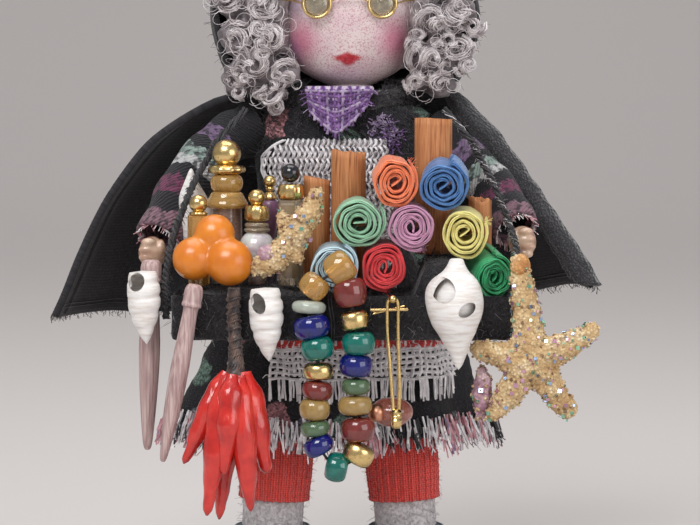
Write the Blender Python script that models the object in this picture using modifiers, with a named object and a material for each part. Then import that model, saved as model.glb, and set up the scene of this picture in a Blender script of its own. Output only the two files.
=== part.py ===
"""Peddler doll: a little standing figure in a black cape, with a tray of wares.

Metres, +Z up. The doll faces -Y. It is modelled with its soles at Z = 0 and
its own upright axis at X = Y = 0, and the empty at the end sets the middle of
the whole object over the origin.
"""

import math

import bmesh
import bpy
from mathutils import Matrix, Vector

MM = 0.001

# Clearances
GAP = 0.10 * MM
CLOTH_GAP = 0.10 * MM
FOLD_ROOM = 0.30 * MM

# Boots and legs
BOOT_HEIGHT = 9.6 * MM
BOOT_HALF_WIDTH = 3.4 * MM
BOOT_TOE = 7.4 * MM
BOOT_HEEL = 4.4 * MM
BOOT_TOP_RADIUS = 3.5 * MM
STANCE = 12.9 * MM
STANCE_AT_HIP = 10.2 * MM
LEGS_MIDDLE_X = -0.6 * MM
LEG_RADIUS = 3.0 * MM
LEGGING_THICKNESS = 0.4 * MM
LEGGING_LENGTH = 6.6 * MM
LEGGING_ABOVE_BOOT = 2.7 * MM

# Dress, as height, half width, half depth, middle in X and middle in Y. Its
# collar carries the head, and everything worn hangs a set distance below it
HEM_HEIGHT = 18.9 * MM
COLLAR_HEIGHT = 50.8 * MM
SHOULDER_DROP = 1.3 * MM
CHEST_DROP = 5.3 * MM
WAIST_DROP = 11.8 * MM
HIP_DROP = 16.3 * MM
SKIRT_HOLLOW_DROP = 19.8 * MM
SKIRT_MIDDLE_DROP = 20.8 * MM
KNEE_DROP = 25.8 * MM
SHOULDER_HEIGHT = COLLAR_HEIGHT - SHOULDER_DROP
CHEST_HEIGHT = COLLAR_HEIGHT - CHEST_DROP
WAIST_HEIGHT = COLLAR_HEIGHT - WAIST_DROP
HIP_HEIGHT = COLLAR_HEIGHT - HIP_DROP
SKIRT_HOLLOW_TOP = COLLAR_HEIGHT - SKIRT_HOLLOW_DROP
SKIRT_MIDDLE_HEIGHT = COLLAR_HEIGHT - SKIRT_MIDDLE_DROP
KNEE_HEIGHT = COLLAR_HEIGHT - KNEE_DROP
DRESS_STATIONS = (
    (HEM_HEIGHT, 15.6 * MM, 10.2 * MM, -1.6 * MM, 2.0 * MM),
    (KNEE_HEIGHT, 12.9 * MM, 8.7 * MM, -1.0 * MM, 1.8 * MM),
    (SKIRT_MIDDLE_HEIGHT, 11.0 * MM, 7.6 * MM, -0.6 * MM, 1.4 * MM),
    (HIP_HEIGHT, 9.6 * MM, 6.4 * MM, -0.2 * MM, 0.8 * MM),
    (WAIST_HEIGHT, 8.2 * MM, 4.9 * MM, 0.0 * MM, 0.3 * MM),
    (CHEST_HEIGHT, 8.8 * MM, 5.0 * MM, 0.0 * MM, 0.2 * MM),
    (SHOULDER_HEIGHT, 8.2 * MM, 4.2 * MM, 0.0 * MM, 0.2 * MM),
    (COLLAR_HEIGHT, 3.3 * MM, 3.0 * MM, 0.0 * MM, 0.2 * MM),
)
DRESS_RING = 24
DRESS_FOLDS = 9
DRESS_FOLD_DEPTH = 0.55 * MM
SKIRT_WALL = 0.8 * MM

# Apron with its bib, as height, left edge and right edge
APRON_THICKNESS = 0.40 * MM
APRON_DROP = 27.8 * MM
BIB_FOOT_DROP = 11.3 * MM
BIB_TOP_DROP = 1.8 * MM
APRON_HEM = COLLAR_HEIGHT - APRON_DROP
BIB_FOOT = COLLAR_HEIGHT - BIB_FOOT_DROP
BIB_TOP = COLLAR_HEIGHT - BIB_TOP_DROP
APRON_STATIONS = (
    (APRON_HEM, -7.2 * MM, 10.6 * MM),
    (SKIRT_HOLLOW_TOP, -6.8 * MM, 8.6 * MM),
    (BIB_FOOT, -6.0 * MM, 4.6 * MM),
    ((BIB_FOOT + BIB_TOP) / 2.0, -7.4 * MM, 3.9 * MM),
    (BIB_TOP, -6.8 * MM, 3.7 * MM),
)

# Neckerchief
KERCHIEF_OVER_COLLAR = 0.4 * MM
KERCHIEF_DROP = 3.2 * MM
KERCHIEF_TOP = COLLAR_HEIGHT + KERCHIEF_OVER_COLLAR
KERCHIEF_TIP = COLLAR_HEIGHT - KERCHIEF_DROP
KERCHIEF_RISE = 2.4 * MM
KERCHIEF_HALF_WIDTH = 3.1 * MM
KERCHIEF_X = -0.6 * MM
KERCHIEF_THICKNESS = 0.45 * MM

# Head, eyes and spectacles
HEAD_HALF_WIDTH = 6.4 * MM
HEAD_HALF_DEPTH = 6.0 * MM
HEAD_HALF_HEIGHT = 7.6 * MM
HEAD_X = 0.4 * MM
CHIN_ABOVE_COLLAR = 1.1 * MM
NECK_RADIUS = 2.0 * MM
EYE_HEIGHT = COLLAR_HEIGHT + CHIN_ABOVE_COLLAR + HEAD_HALF_HEIGHT
HEAD_MIDDLE = Vector((HEAD_X, 0.0, EYE_HEIGHT))
EYE_SPACING = 6.1 * MM
EYE_RADIUS = 1.05 * MM
EYE_DEPTH_IN_HEAD = 0.55 * MM
EYE_RELIEF = 0.30 * MM
RIM_RADIUS = 1.26 * MM
RIM_WIRE = 0.17 * MM

# Hair, as X from the head's middle, height from the eyes, forward, radius. CURL is
# a millimetre at the curls' own scale, which follows the head's width
CURL = HEAD_HALF_WIDTH / 6.4
HAIR_THICKNESS = 1.1 * MM
HAIR_SEGMENTS = 26
HAIR_RINGS = 18
LEFT_CURLS = (
    (-8.2, -0.4, 3.2, 2.6), (-11.0, -3.4, 2.6, 2.4), (-11.2, -7.2, 2.4, 1.9),
    (-8.7, -6.9, 3.4, 2.3), (-5.9, -7.4, 4.0, 1.7), (-7.0, -3.8, 4.0, 2.2),
    (-11.4, 0.6, 2.2, 2.3), (-6.0, 2.6, 4.2, 2.2), (-9.8, 4.0, 2.2, 2.6),
)
RIGHT_CURLS = (
    (10.4, -0.9, 2.6, 2.3), (7.2, -1.0, 3.8, 2.3), (10.2, -4.4, 2.6, 2.1),
    (6.5, -4.6, 4.0, 1.9), (8.3, -7.0, 3.0, 2.1), (9.6, 2.4, 2.4, 2.5),
    (6.0, 2.8, 4.2, 2.1),
)
BROW_CURLS = 5
BROW_CURL_RADIUS = 2.3 * MM
FACE_ROOM = (5.8 * MM, 4.6 * MM, 7.9 * MM)
FACE_ROOM_RISE = -2.2 * MM

# Cape and hood
CAPE_THICKNESS = 0.80 * MM
CAPE_COLLAR_RISE = 2.2 * MM
CAPE_COLLAR_HEIGHT = COLLAR_HEIGHT + CAPE_COLLAR_RISE
CAPE_COLLAR_RADIUS = 6.4 * MM
CAPE_REACH_LEFT = 28.4 * MM
CAPE_REACH_RIGHT = 24.4 * MM
CAPE_DEPTH = 12.4 * MM
CAPE_LENGTH_LEFT = 23.0 * MM
CAPE_LENGTH_RIGHT = 19.8 * MM
CAPE_LENGTH_BACK = 24.0 * MM
CAPE_HEM_LEFT = CAPE_COLLAR_HEIGHT - CAPE_LENGTH_LEFT
CAPE_HEM_RIGHT = CAPE_COLLAR_HEIGHT - CAPE_LENGTH_RIGHT
CAPE_HEM_BACK = CAPE_COLLAR_HEIGHT - CAPE_LENGTH_BACK
CAPE_SHOULDER_SHARE = 0.25
CAPE_SHOULDER_DROP = 0.9 * MM
CAPE_BOW_LEFT = 4.2 * MM
CAPE_BOW_RIGHT = 0.2 * MM
CAPE_BOW_BACK = 1.6 * MM
CAPE_BOW_HIGH = 0.6
CAPE_OPENING = math.radians(97.0)
CAPE_FOLDS = 7
CAPE_FOLD_DEPTH = 0.9 * MM
HOOD_THICKNESS = 0.7 * MM
HOOD_HALF_WIDTH = 12.9 * MM
HOOD_HALF_DEPTH = 10.0 * MM
HOOD_HALF_HEIGHT = 10.8 * MM
HOOD_FRONT = -0.8 * MM
HOOD_RISE = 5.4 * MM
HOOD_MIDDLE_Z = CAPE_COLLAR_HEIGHT + HOOD_RISE
HOOD_MIDDLE_Y = 1.6 * MM
HOOD_SLACK = 0.6 * MM
HOOD_LOW = CAPE_COLLAR_HEIGHT - CAPE_SHOULDER_DROP + 2.0 * GAP

# Tray. WARE is a millimetre at the wares' own scale, which follows its length
TRAY_LENGTH = 30.8 * MM
WARE = TRAY_LENGTH / 30.8
TRAY_DEPTH = 9.2 * WARE
TRAY_HEIGHT = 4.2 * MM
TRAY_DROP = 21.7 * MM
TRAY_BOTTOM = COLLAR_HEIGHT - TRAY_DROP
TRAY_WALL = 0.8 * MM
TRAY_MIDDLE_X = -0.15 * MM
BED_LEFT_RISE = 0.5 * MM
BED_RIGHT_RISE = 3.2 * MM
STRAP_RADIUS = 0.42 * MM
STRAP_BULGE_LEFT = 1.5 * WARE
STRAP_BULGE_RIGHT = 1.3 * WARE
STRAP_TOP_X = 9.3 * WARE
STRAP_TOP_Y = -4.6 * MM
STRAP_TOP_RISE = 0.2 * MM
STRAP_RIM_BACK = 1.6 * MM
STRAP_RIM_RISE = 1.6 * MM
STRAP_BEND_DROP = 0.6 * MM
STRAP_END_BACK = 0.8 * MM
STRAP_END_RISE = 0.9 * MM

# Sleeves and hands: a route runs from the shoulders' height down to the tray's end
ELBOW_PAST_TRAY_LEFT = 0.2 * MM
WRIST_PAST_TRAY_LEFT = 1.9 * MM
ELBOW_INSIDE_TRAY_RIGHT = 0.7 * MM
WRIST_PAST_TRAY_RIGHT = 0.5 * MM
SLEEVE_LEFT_ROUTE = (
    (-8.4 * MM, 0.4 * MM, -1.3 * MM), (-11.0 * MM, -0.2 * MM, -2.6 * MM),
    (-13.4 * MM, -1.6 * MM, -4.6 * MM),
    (-TRAY_LENGTH / 2.0 - ELBOW_PAST_TRAY_LEFT, -4.1 * MM, -7.9 * MM),
    (-TRAY_LENGTH / 2.0 - WRIST_PAST_TRAY_LEFT, -7.2 * MM, -11.7 * MM),
)
SLEEVE_RIGHT_ROUTE = (
    (7.7 * MM, 0.2 * MM, -2.0 * MM), (10.2 * MM, -0.5 * MM, -3.7 * MM),
    (12.6 * MM, -1.8 * MM, -6.0 * MM),
    (TRAY_LENGTH / 2.0 - ELBOW_INSIDE_TRAY_RIGHT, -4.0 * MM, -8.5 * MM),
    (TRAY_LENGTH / 2.0 + WRIST_PAST_TRAY_RIGHT, -6.6 * MM, -10.9 * MM),
)
SLEEVE_RADIUS_TOP = 2.1 * MM
SLEEVE_RADIUS_CUFF = 1.8 * MM
HAND_HALF_SIZE = (1.45 * MM, 1.6 * MM, 1.75 * MM)

# Rolls of ribbon, stacked in the tray like logs: column and row of the stack,
# then width and height as shares of the roll's diameter
ROLL_DIAMETER = 4.60 * WARE
ROLL_LENGTH = 4.5 * WARE
ROLL_STACK_X = -0.92 * WARE
ROLL_SPACE = 0.22 * WARE
ROLL_STEP = 0.20 * WARE
ROLL_CORE_WIDTH = 1.5 * WARE
ROLL_CORE_HEIGHT = 0.55 * WARE
ROLLS = {
    "roll_light_blue": (0.00, 0.00, 1.00, 0.98),
    "roll_red": (0.99, 0.00, 0.94, 0.96),
    "roll_dark_green": (3.02, -0.13, 0.72, 0.80),
    "roll_pale_green": (0.48, 0.87, 1.02, 1.02),
    "roll_mauve": (1.52, 0.78, 0.94, 0.94),
    "roll_yellow": (2.56, 0.68, 0.92, 0.98),
    "roll_orange": (1.17, 1.67, 0.92, 0.96),
    "roll_blue": (2.14, 1.62, 0.98, 0.96),
}
ROLL_COLOURS = {
    "roll_light_blue": (0.42, 0.60, 0.74),
    "roll_red": (0.62, 0.03, 0.04),
    "roll_dark_green": (0.01, 0.30, 0.12),
    "roll_pale_green": (0.25, 0.50, 0.36),
    "roll_mauve": (0.50, 0.22, 0.40),
    "roll_yellow": (0.80, 0.68, 0.20),
    "roll_orange": (0.85, 0.22, 0.10),
    "roll_blue": (0.06, 0.16, 0.48),
}

# Cinnamon sticks behind the rolls: X, radius and height above the bed
STICK_SCROLL = 0.22
STICK_SLANT = 0.3
STICKS = {
    "cinnamon_stick_a": (-2.60, 1.20, 10.0),
    "cinnamon_stick_b": (0.30, 1.60, 12.4),
    "cinnamon_stick_c": (8.10, 1.70, 12.1),
    "cinnamon_stick_d": (12.40, 1.05, 8.3),
}


def smooth(share):
    """Eases a share from 0 to 1 in and out."""
    share = min(max(share, 0.0), 1.0)
    return share * share * (3.0 - 2.0 * share)


def between(stations, height):
    """Reads a row of sizes off a list of stations sorted by height."""
    if height <= stations[0][0]:
        return stations[0][1:]
    for low, high in zip(stations, stations[1:]):
        if height <= high[0]:
            share = (height - low[0]) / (high[0] - low[0])
            return tuple(a + (b - a) * share for a, b in zip(low[1:], high[1:]))
    return stations[-1][1:]


def new_collection(name):
    group = bpy.data.collections.new(name)
    bpy.context.scene.collection.children.link(group)
    return group


def colour(name, rgb, roughness, metallic=0.0, clear=0.0):
    """A plain Principled material."""
    finish = bpy.data.materials.new(name)
    finish.use_nodes = True
    shader = finish.node_tree.nodes["Principled BSDF"]
    shader.inputs["Base Color"].default_value = (*rgb, 1.0)
    shader.inputs["Roughness"].default_value = roughness
    shader.inputs["Metallic"].default_value = metallic
    shader.inputs["Transmission Weight"].default_value = clear
    return finish


def part(name, mesh, finish, place=(0.0, 0.0, 0.0), turn=(0.0, 0.0, 0.0)):
    """Puts a mesh or a curve in the scene as one piece of the doll."""
    piece = bpy.data.objects.new(name, mesh)
    PARTS.objects.link(piece)
    piece.parent = DOLL
    piece.location = place
    piece.rotation_euler = turn
    if finish is not None:
        mesh.materials.append(finish)
    return piece


def smooth_shaded(piece, angle=50.0):
    piece.data.shade_smooth()
    piece.data.set_sharp_from_angle(angle=math.radians(angle))
    return piece


def as_cutter(piece):
    """Moves a shape to the cutters, which aren't part of the doll."""
    PARTS.objects.unlink(piece)
    CUTTERS.objects.link(piece)
    piece.hide_render = True
    piece.display_type = "WIRE"
    return piece


def with_boolean(piece, operation, others):
    for other in others:
        as_cutter(other)
        step = piece.modifiers.new(operation.lower() + " " + other.name, "BOOLEAN")
        step.operation = operation
        step.object = other
        step.solver = "EXACT"
    return piece


def ball_mesh(radii, segments=16, rings=10):
    """A UV sphere stretched to three radii, as a mesh."""
    form = bmesh.new()
    bmesh.ops.create_uvsphere(form, u_segments=segments, v_segments=rings, radius=1.0)
    bmesh.ops.scale(form, vec=Vector(radii), verts=form.verts)
    mesh = bpy.data.meshes.new("ball")
    form.to_mesh(mesh)
    form.free()
    return mesh


def ball(name, radii, finish, place, turn=(0.0, 0.0, 0.0), segments=16, rings=10):
    if isinstance(radii, float):
        radii = (radii, radii, radii)
    return smooth_shaded(part(name, ball_mesh(radii, segments, rings), finish, place, turn), 80.0)


def cylinder_mesh(radius, depth, segments):
    form = bmesh.new()
    bmesh.ops.create_cone(form, cap_ends=True, segments=segments, radius1=radius,
                          radius2=radius, depth=depth)
    mesh = bpy.data.meshes.new("cylinder")
    form.to_mesh(mesh)
    form.free()
    return mesh


def box_mesh(low, high):
    """A box between two corners."""
    form = bmesh.new()
    bmesh.ops.create_cube(form, size=1.0)
    bmesh.ops.scale(form, vec=Vector(high) - Vector(low), verts=form.verts)
    bmesh.ops.translate(form, vec=(Vector(high) + Vector(low)) / 2.0, verts=form.verts)
    mesh = bpy.data.meshes.new("box")
    form.to_mesh(mesh)
    form.free()
    return mesh


def turned(name, profile, finish, place, turn=(0.0, 0.0, 0.0), steps=14):
    """A turned piece: (radius, height) pairs down its outer side."""
    mesh = bpy.data.meshes.new(name)
    points = [(radius, 0.0, height) for radius, height in profile]
    mesh.from_pydata(points, [(i, i + 1) for i in range(len(points) - 1)], [])
    piece = part(name, mesh, finish, place, turn)
    screw = piece.modifiers.new("turn", "SCREW")
    screw.steps = steps
    screw.render_steps = steps
    screw.use_merge_vertices = True
    screw.merge_threshold = 0.001 * MM
    screw.use_smooth_shade = True
    return piece


def curve_of(name, points, radii, sides):
    """A poly spline that a bevel makes round, with a radius at each point."""
    curve = bpy.data.curves.new(name, "CURVE")
    curve.dimensions = "3D"
    curve.bevel_depth = 1.0 * MM
    curve.bevel_resolution = (sides - 4) // 2
    curve.use_fill_caps = True
    spline = curve.splines.new("POLY")
    spline.points.add(len(points) - 1)
    for knot, place, radius in zip(spline.points, points, radii):
        knot.co = (*place, 1.0)
        knot.radius = radius / MM
    return curve


def tube(name, points, radii, finish, sides=8):
    """A closed round tube through the points, turned into a mesh."""
    if isinstance(radii, float):
        radii = [radii] * len(points)
    curve = curve_of(name, points, radii, sides)
    guide = bpy.data.objects.new(name + "_curve", curve)
    bpy.context.scene.collection.objects.link(guide)
    bpy.context.view_layer.update()
    ready = guide.evaluated_get(bpy.context.evaluated_depsgraph_get())
    mesh = bpy.data.meshes.new_from_object(ready)
    bpy.data.objects.remove(guide)
    form = bmesh.new()
    form.from_mesh(mesh)
    bmesh.ops.remove_doubles(form, verts=form.verts, dist=0.001 * MM)
    bmesh.ops.recalc_face_normals(form, faces=form.faces)
    form.to_mesh(mesh)
    form.free()
    return smooth_shaded(part(name, mesh, finish), 60.0)


def rounded_route(points, per_leg=3):
    """Reads a smooth curve through hand-chosen points."""
    places = [Vector(point) for point in points]
    padded = [places[0] * 2 - places[1]] + places + [places[-1] * 2 - places[-2]]
    route = []
    for a, b, c, d in zip(padded, padded[1:], padded[2:], padded[3:]):
        for step in range(per_leg):
            t = step / per_leg
            route.append(0.5 * ((2 * b) + (c - a) * t + (2 * a - 5 * b + 4 * c - d) * t * t
                                + (3 * b - a - 3 * c + d) * t ** 3))
    route.append(places[-1])
    return route


def lofted(name, rings, finish, angle=50.0):
    """A closed body through rings of equally many points, capped at both ends."""
    form = bmesh.new()
    rows = [[form.verts.new(point) for point in ring] for ring in rings]
    count = len(rows[0])
    for low, high in zip(rows, rows[1:]):
        for i in range(count):
            j = (i + 1) % count
            form.faces.new((low[i], low[j], high[j], high[i]))
    form.faces.new(rows[0])
    form.faces.new(rows[-1])
    bmesh.ops.recalc_face_normals(form, faces=form.faces)
    mesh = bpy.data.meshes.new(name)
    form.to_mesh(mesh)
    form.free()
    return smooth_shaded(part(name, mesh, finish), angle)


def sheet(name, columns, rows, place_of, thickness, finish, outward=1.0):
    """A cloth: a grid bent by place_of(across, down), both 0 to 1, made thick."""
    form = bmesh.new()
    bmesh.ops.create_grid(form, x_segments=columns, y_segments=rows, size=1.0)
    for vertex in form.verts:
        vertex.co = place_of(0.5 + vertex.co.x / 2.0, 0.5 - vertex.co.y / 2.0)
    mesh = bpy.data.meshes.new(name)
    form.to_mesh(mesh)
    form.free()
    piece = part(name, mesh, finish)
    thick = piece.modifiers.new("thickness", "SOLIDIFY")
    thick.thickness = thickness
    thick.offset = outward
    return smooth_shaded(piece, 60.0)


def extruded(name, loops, length, finish, place, turn):
    """A flat outline, with any holes, made half its length thick to each side."""
    curve = bpy.data.curves.new(name, "CURVE")
    curve.dimensions = "2D"
    curve.fill_mode = "BOTH"
    curve.extrude = length / 2.0
    for loop in loops:
        spline = curve.splines.new("POLY")
        spline.points.add(len(loop) - 1)
        for knot, (x, y) in zip(spline.points, loop):
            knot.co = (x, y, 0.0, 1.0)
        spline.use_cyclic_u = True
    return part(name, curve, finish, place, turn)


def ellipse(half_width, half_height, count):
    angles = [math.tau * i / count for i in range(count)]
    return [(half_width * math.cos(a), half_height * math.sin(a)) for a in angles]


def dress_point(angle, height, offset=0.0):
    """A point on the dress at an angle from the front, towards +X, at a height."""
    half_width, half_depth, middle_x, middle_y = between(DRESS_STATIONS, height)
    fullness = smooth((WAIST_HEIGHT - height) / (WAIST_HEIGHT - HEM_HEIGHT))
    out = offset + DRESS_FOLD_DEPTH * fullness * math.cos(DRESS_FOLDS * angle)
    return Vector((middle_x + (half_width + out) * math.sin(angle),
                   middle_y - (half_depth + out) * math.cos(angle), height))


def dress_angle(x, height):
    """The angle on the dress's front whose point lies at a given X."""
    half_width, _, middle_x, _ = between(DRESS_STATIONS, height)
    return math.asin(min(max((x - middle_x) / half_width, -0.97), 0.97))


def dress_ring(height, offset=0.0):
    return [dress_point(math.tau * i / DRESS_RING, height, offset) for i in range(DRESS_RING)]


def make_dress(finish):
    """Bodice and bell skirt, hollow from the hem up to the hips."""
    heights = [station[0] for station in DRESS_STATIONS]
    inner = [dress_ring(height, -SKIRT_WALL)
             for height in (SKIRT_HOLLOW_TOP, KNEE_HEIGHT, HEM_HEIGHT)]
    outer = [dress_ring(height) for height in heights]
    return lofted("dress", inner + outer, finish, 60.0)


def dress_cutter(name, reach):
    """The dress's outer form, grown by a reach, to trim what meets it."""
    heights = [station[0] for station in DRESS_STATIONS]
    return lofted(name, [dress_ring(height, reach) for height in heights], None)


def make_apron(finish):
    low, high = APRON_STATIONS[0][0], APRON_STATIONS[-1][0]

    def place(across, down):
        height = high + (low - high) * down
        left, right = between(APRON_STATIONS, height)
        angle = dress_angle(left + (right - left) * across, height)
        return dress_point(angle, height, FOLD_ROOM)

    return sheet("apron", 9, 7, place, APRON_THICKNESS, finish)


def make_neckerchief(finish):
    """A folded kerchief whose point hangs over the bib below the chin."""
    under = FOLD_ROOM + APRON_THICKNESS + FOLD_ROOM

    def place(across, down):
        side = 2.0 * across - 1.0
        edge = KERCHIEF_TIP + KERCHIEF_RISE * abs(side + 0.1) ** 1.3
        height = KERCHIEF_TOP + (edge - KERCHIEF_TOP) * down
        x = KERCHIEF_HALF_WIDTH * side * (1.0 - 0.15 * down) + KERCHIEF_X
        chest = min(height, SHOULDER_HEIGHT)
        surface = dress_point(dress_angle(x, chest), chest, under)
        return Vector((x, surface.y, height))

    return sheet("neckerchief", 6, 3, place, KERCHIEF_THICKNESS, finish)


def face_front(x):
    """How far the face comes forward at eye height, at an X from its middle."""
    return -HEAD_HALF_DEPTH * math.sqrt(1.0 - (x / HEAD_HALF_WIDTH) ** 2)


def eye_place(side):
    x = side * EYE_SPACING / 2.0
    return HEAD_MIDDLE + Vector((x, face_front(x) + EYE_DEPTH_IN_HEAD, 0.0))


def make_head(finish):
    """An egg-shaped head on a short neck, with a socket for each eye."""
    radii = (HEAD_HALF_WIDTH, HEAD_HALF_DEPTH, HEAD_HALF_HEIGHT)
    head = ball("head", radii, finish, HEAD_MIDDLE, segments=14, rings=10)
    neck_low = COLLAR_HEIGHT + GAP
    neck_high = EYE_HEIGHT - HEAD_HALF_HEIGHT / 2.0
    middle = (HEAD_X, 0.0, (neck_low + neck_high) / 2.0)
    neck = part("neck", cylinder_mesh(NECK_RADIUS, neck_high - neck_low, 10), None, middle)
    with_boolean(head, "UNION", [neck])
    sockets = [ball("socket", EYE_RADIUS + GAP, None, eye_place(side), segments=8, rings=6)
               for side in (-1.0, 1.0)]
    return with_boolean(head, "DIFFERENCE", sockets)


def make_eyes(finish):
    for name, side in (("eye_left", -1.0), ("eye_right", 1.0)):
        ball(name, EYE_RADIUS, finish, eye_place(side), segments=8, rings=6)


def make_spectacles(finish):
    """Two wire rims and an arched bridge, soldered into one."""
    reach = EYE_SPACING / 2.0
    plane = face_front(reach) + EYE_DEPTH_IN_HEAD - EYE_RADIUS - EYE_RELIEF - RIM_WIRE
    rims = []
    for side in (-1.0, 1.0):
        bpy.ops.mesh.primitive_torus_add(
            major_segments=14, minor_segments=5, major_radius=RIM_RADIUS, minor_radius=RIM_WIRE)
        rim = bpy.context.object
        rims.append(part("rim", rim.data, None, (HEAD_X + side * reach, plane, EYE_HEIGHT),
                         (math.pi / 2.0, 0.0, 0.0)))
        bpy.data.objects.remove(rim)
    inner = reach - RIM_RADIUS
    rise = RIM_RADIUS * 0.45
    arch = [(-inner - RIM_WIRE, plane, rise), (-inner * 0.5, plane, rise * 1.9),
            (inner * 0.5, plane, rise * 1.9), (inner + RIM_WIRE, plane, rise)]
    bridge = tube("bridge", [HEAD_MIDDLE + Vector(point) for point in arch], RIM_WIRE * 0.8,
                  None, 6)
    spectacles = rims[0]
    spectacles.name = "spectacles"
    spectacles.data.materials.append(finish)
    with_boolean(spectacles, "UNION", [rims[1], bridge])
    return smooth_shaded(spectacles)


def curl_balls():
    """Middle and radius of every cluster of curls, beside the face and over it."""
    balls = []
    for x, up, forward, radius in LEFT_CURLS + RIGHT_CURLS:
        balls.append((HEAD_MIDDLE + Vector((x, -forward, up)) * CURL, radius * CURL))
    for i in range(BROW_CURLS):
        lean = math.radians(-46.0 + 92.0 * i / (BROW_CURLS - 1))
        place = HEAD_MIDDLE + Vector((
            (HEAD_HALF_WIDTH + 0.4 * BROW_CURL_RADIUS) * math.sin(lean),
            -HEAD_HALF_DEPTH * 0.62,
            (HEAD_HALF_HEIGHT - 0.5 * BROW_CURL_RADIUS) * math.cos(lean)))
        balls.append((place, BROW_CURL_RADIUS))
    return balls


def far_side(start, way, middle, radius):
    """How far along a way from the start a ball ends, or zero where it is missed."""
    along = (middle - start).dot(way)
    miss = (middle - start - way * along).length
    if miss >= radius:
        return 0.0
    return along + math.sqrt(radius * radius - miss * miss)


def make_hood_room():
    """Everything behind the hood's front edge that isn't inside the hood."""
    far = 2.0 * HOOD_HALF_WIDTH
    outside = part("hood_outside", box_mesh(
        (-far, HOOD_FRONT - 2.0 * GAP, HOOD_MIDDLE_Z - far),
        (far, far, HOOD_MIDDLE_Z + far)), None)
    inset = HOOD_THICKNESS + 3.0 * GAP
    radii = (HOOD_HALF_WIDTH - inset, HOOD_HALF_DEPTH - inset, HOOD_HALF_HEIGHT - inset)
    inside = ball("hood_inside", radii, None, (0.0, HOOD_MIDDLE_Y, HOOD_MIDDLE_Z),
                  segments=18, rings=10)
    return with_boolean(outside, "DIFFERENCE", [inside])


def make_hair(finish):
    """A cap of hair pushed out by the clusters of curls, open at face and nape."""
    heart = HEAD_MIDDLE + Vector((0.0, -1.5 * MM, -1.0 * MM))
    cap_middle = HEAD_MIDDLE + Vector((0.0, HAIR_THICKNESS * 0.9, HAIR_THICKNESS * 0.4))
    cap_radii = Vector(tuple(size + HAIR_THICKNESS for size in
                             (HEAD_HALF_WIDTH, HEAD_HALF_DEPTH, HEAD_HALF_HEIGHT)))
    balls = curl_balls()
    mesh = ball_mesh((1.0, 1.0, 1.0), HAIR_SEGMENTS, HAIR_RINGS)
    for vertex in mesh.vertices:
        way = vertex.co.normalized()
        scaled = Vector([way[i] / cap_radii[i] for i in range(3)])
        start = Vector([(heart - cap_middle)[i] / cap_radii[i] for i in range(3)])
        half = scaled.dot(start)
        square = scaled.length_squared
        reach = (-half + math.sqrt(half * half - square * (start.length_squared - 1.0))) / square
        reach = max([reach] + [far_side(heart, way, *one) for one in balls])
        vertex.co = heart + way * reach
    hair = smooth_shaded(part("hair", mesh, finish), 80.0)
    radii = [size + GAP for size in (HEAD_HALF_WIDTH, HEAD_HALF_DEPTH, HEAD_HALF_HEIGHT)]
    room = ball("head_room", tuple(radii), None, HEAD_MIDDLE, segments=14, rings=10)
    face = ball("face_room", FACE_ROOM, None,
                HEAD_MIDDLE + Vector((0.0, -HEAD_HALF_DEPTH, FACE_ROOM_RISE)), segments=12, rings=6)
    nape = part("nape_room", cylinder_mesh(1.0, 1.0, 12), None)
    nape.scale = (HEAD_HALF_WIDTH + 2 * HAIR_THICKNESS, HEAD_HALF_DEPTH * 2.0, 6.0 * MM)
    nape.location = HEAD_MIDDLE + Vector((0.0, HEAD_HALF_DEPTH * 1.4, -HEAD_HALF_HEIGHT - 0.6 * MM))
    return with_boolean(hair, "DIFFERENCE", [room, face, nape, make_hood_room()])


def make_hood(finish):
    """The hood: an egg of cloth, cut open at the front and off at the shoulders."""
    form = bmesh.new()
    bmesh.ops.create_uvsphere(form, u_segments=18, v_segments=10, radius=1.0)
    bmesh.ops.scale(form, vec=(HOOD_HALF_WIDTH, HOOD_HALF_DEPTH, HOOD_HALF_HEIGHT),
                    verts=form.verts)
    bmesh.ops.translate(form, vec=(0.0, HOOD_MIDDLE_Y, HOOD_MIDDLE_Z), verts=form.verts)
    for point, way in (((0.0, HOOD_FRONT, HOOD_MIDDLE_Z), (0.0, -1.0, 0.0)),
                       ((0.0, 0.0, HOOD_LOW), (0.0, 0.0, -1.0))):
        geometry = form.verts[:] + form.edges[:] + form.faces[:]
        bmesh.ops.bisect_plane(form, geom=geometry, plane_co=point, plane_no=way,
                               clear_outer=True)
    mesh = bpy.data.meshes.new("hood")
    form.to_mesh(mesh)
    form.free()
    hood = part("hood", mesh, finish)
    thick = hood.modifiers.new("thickness", "SOLIDIFY")
    thick.thickness = HOOD_THICKNESS
    thick.offset = -1.0
    return smooth_shaded(hood, 60.0)


def shoulder_ring():
    """Half width and half depth of the ring where the hood rests on the cape."""
    drop = (HOOD_MIDDLE_Z - HOOD_LOW) / HOOD_HALF_HEIGHT
    share = math.sqrt(1.0 - drop * drop)
    return HOOD_HALF_WIDTH * share, HOOD_HALF_DEPTH * share


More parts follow.
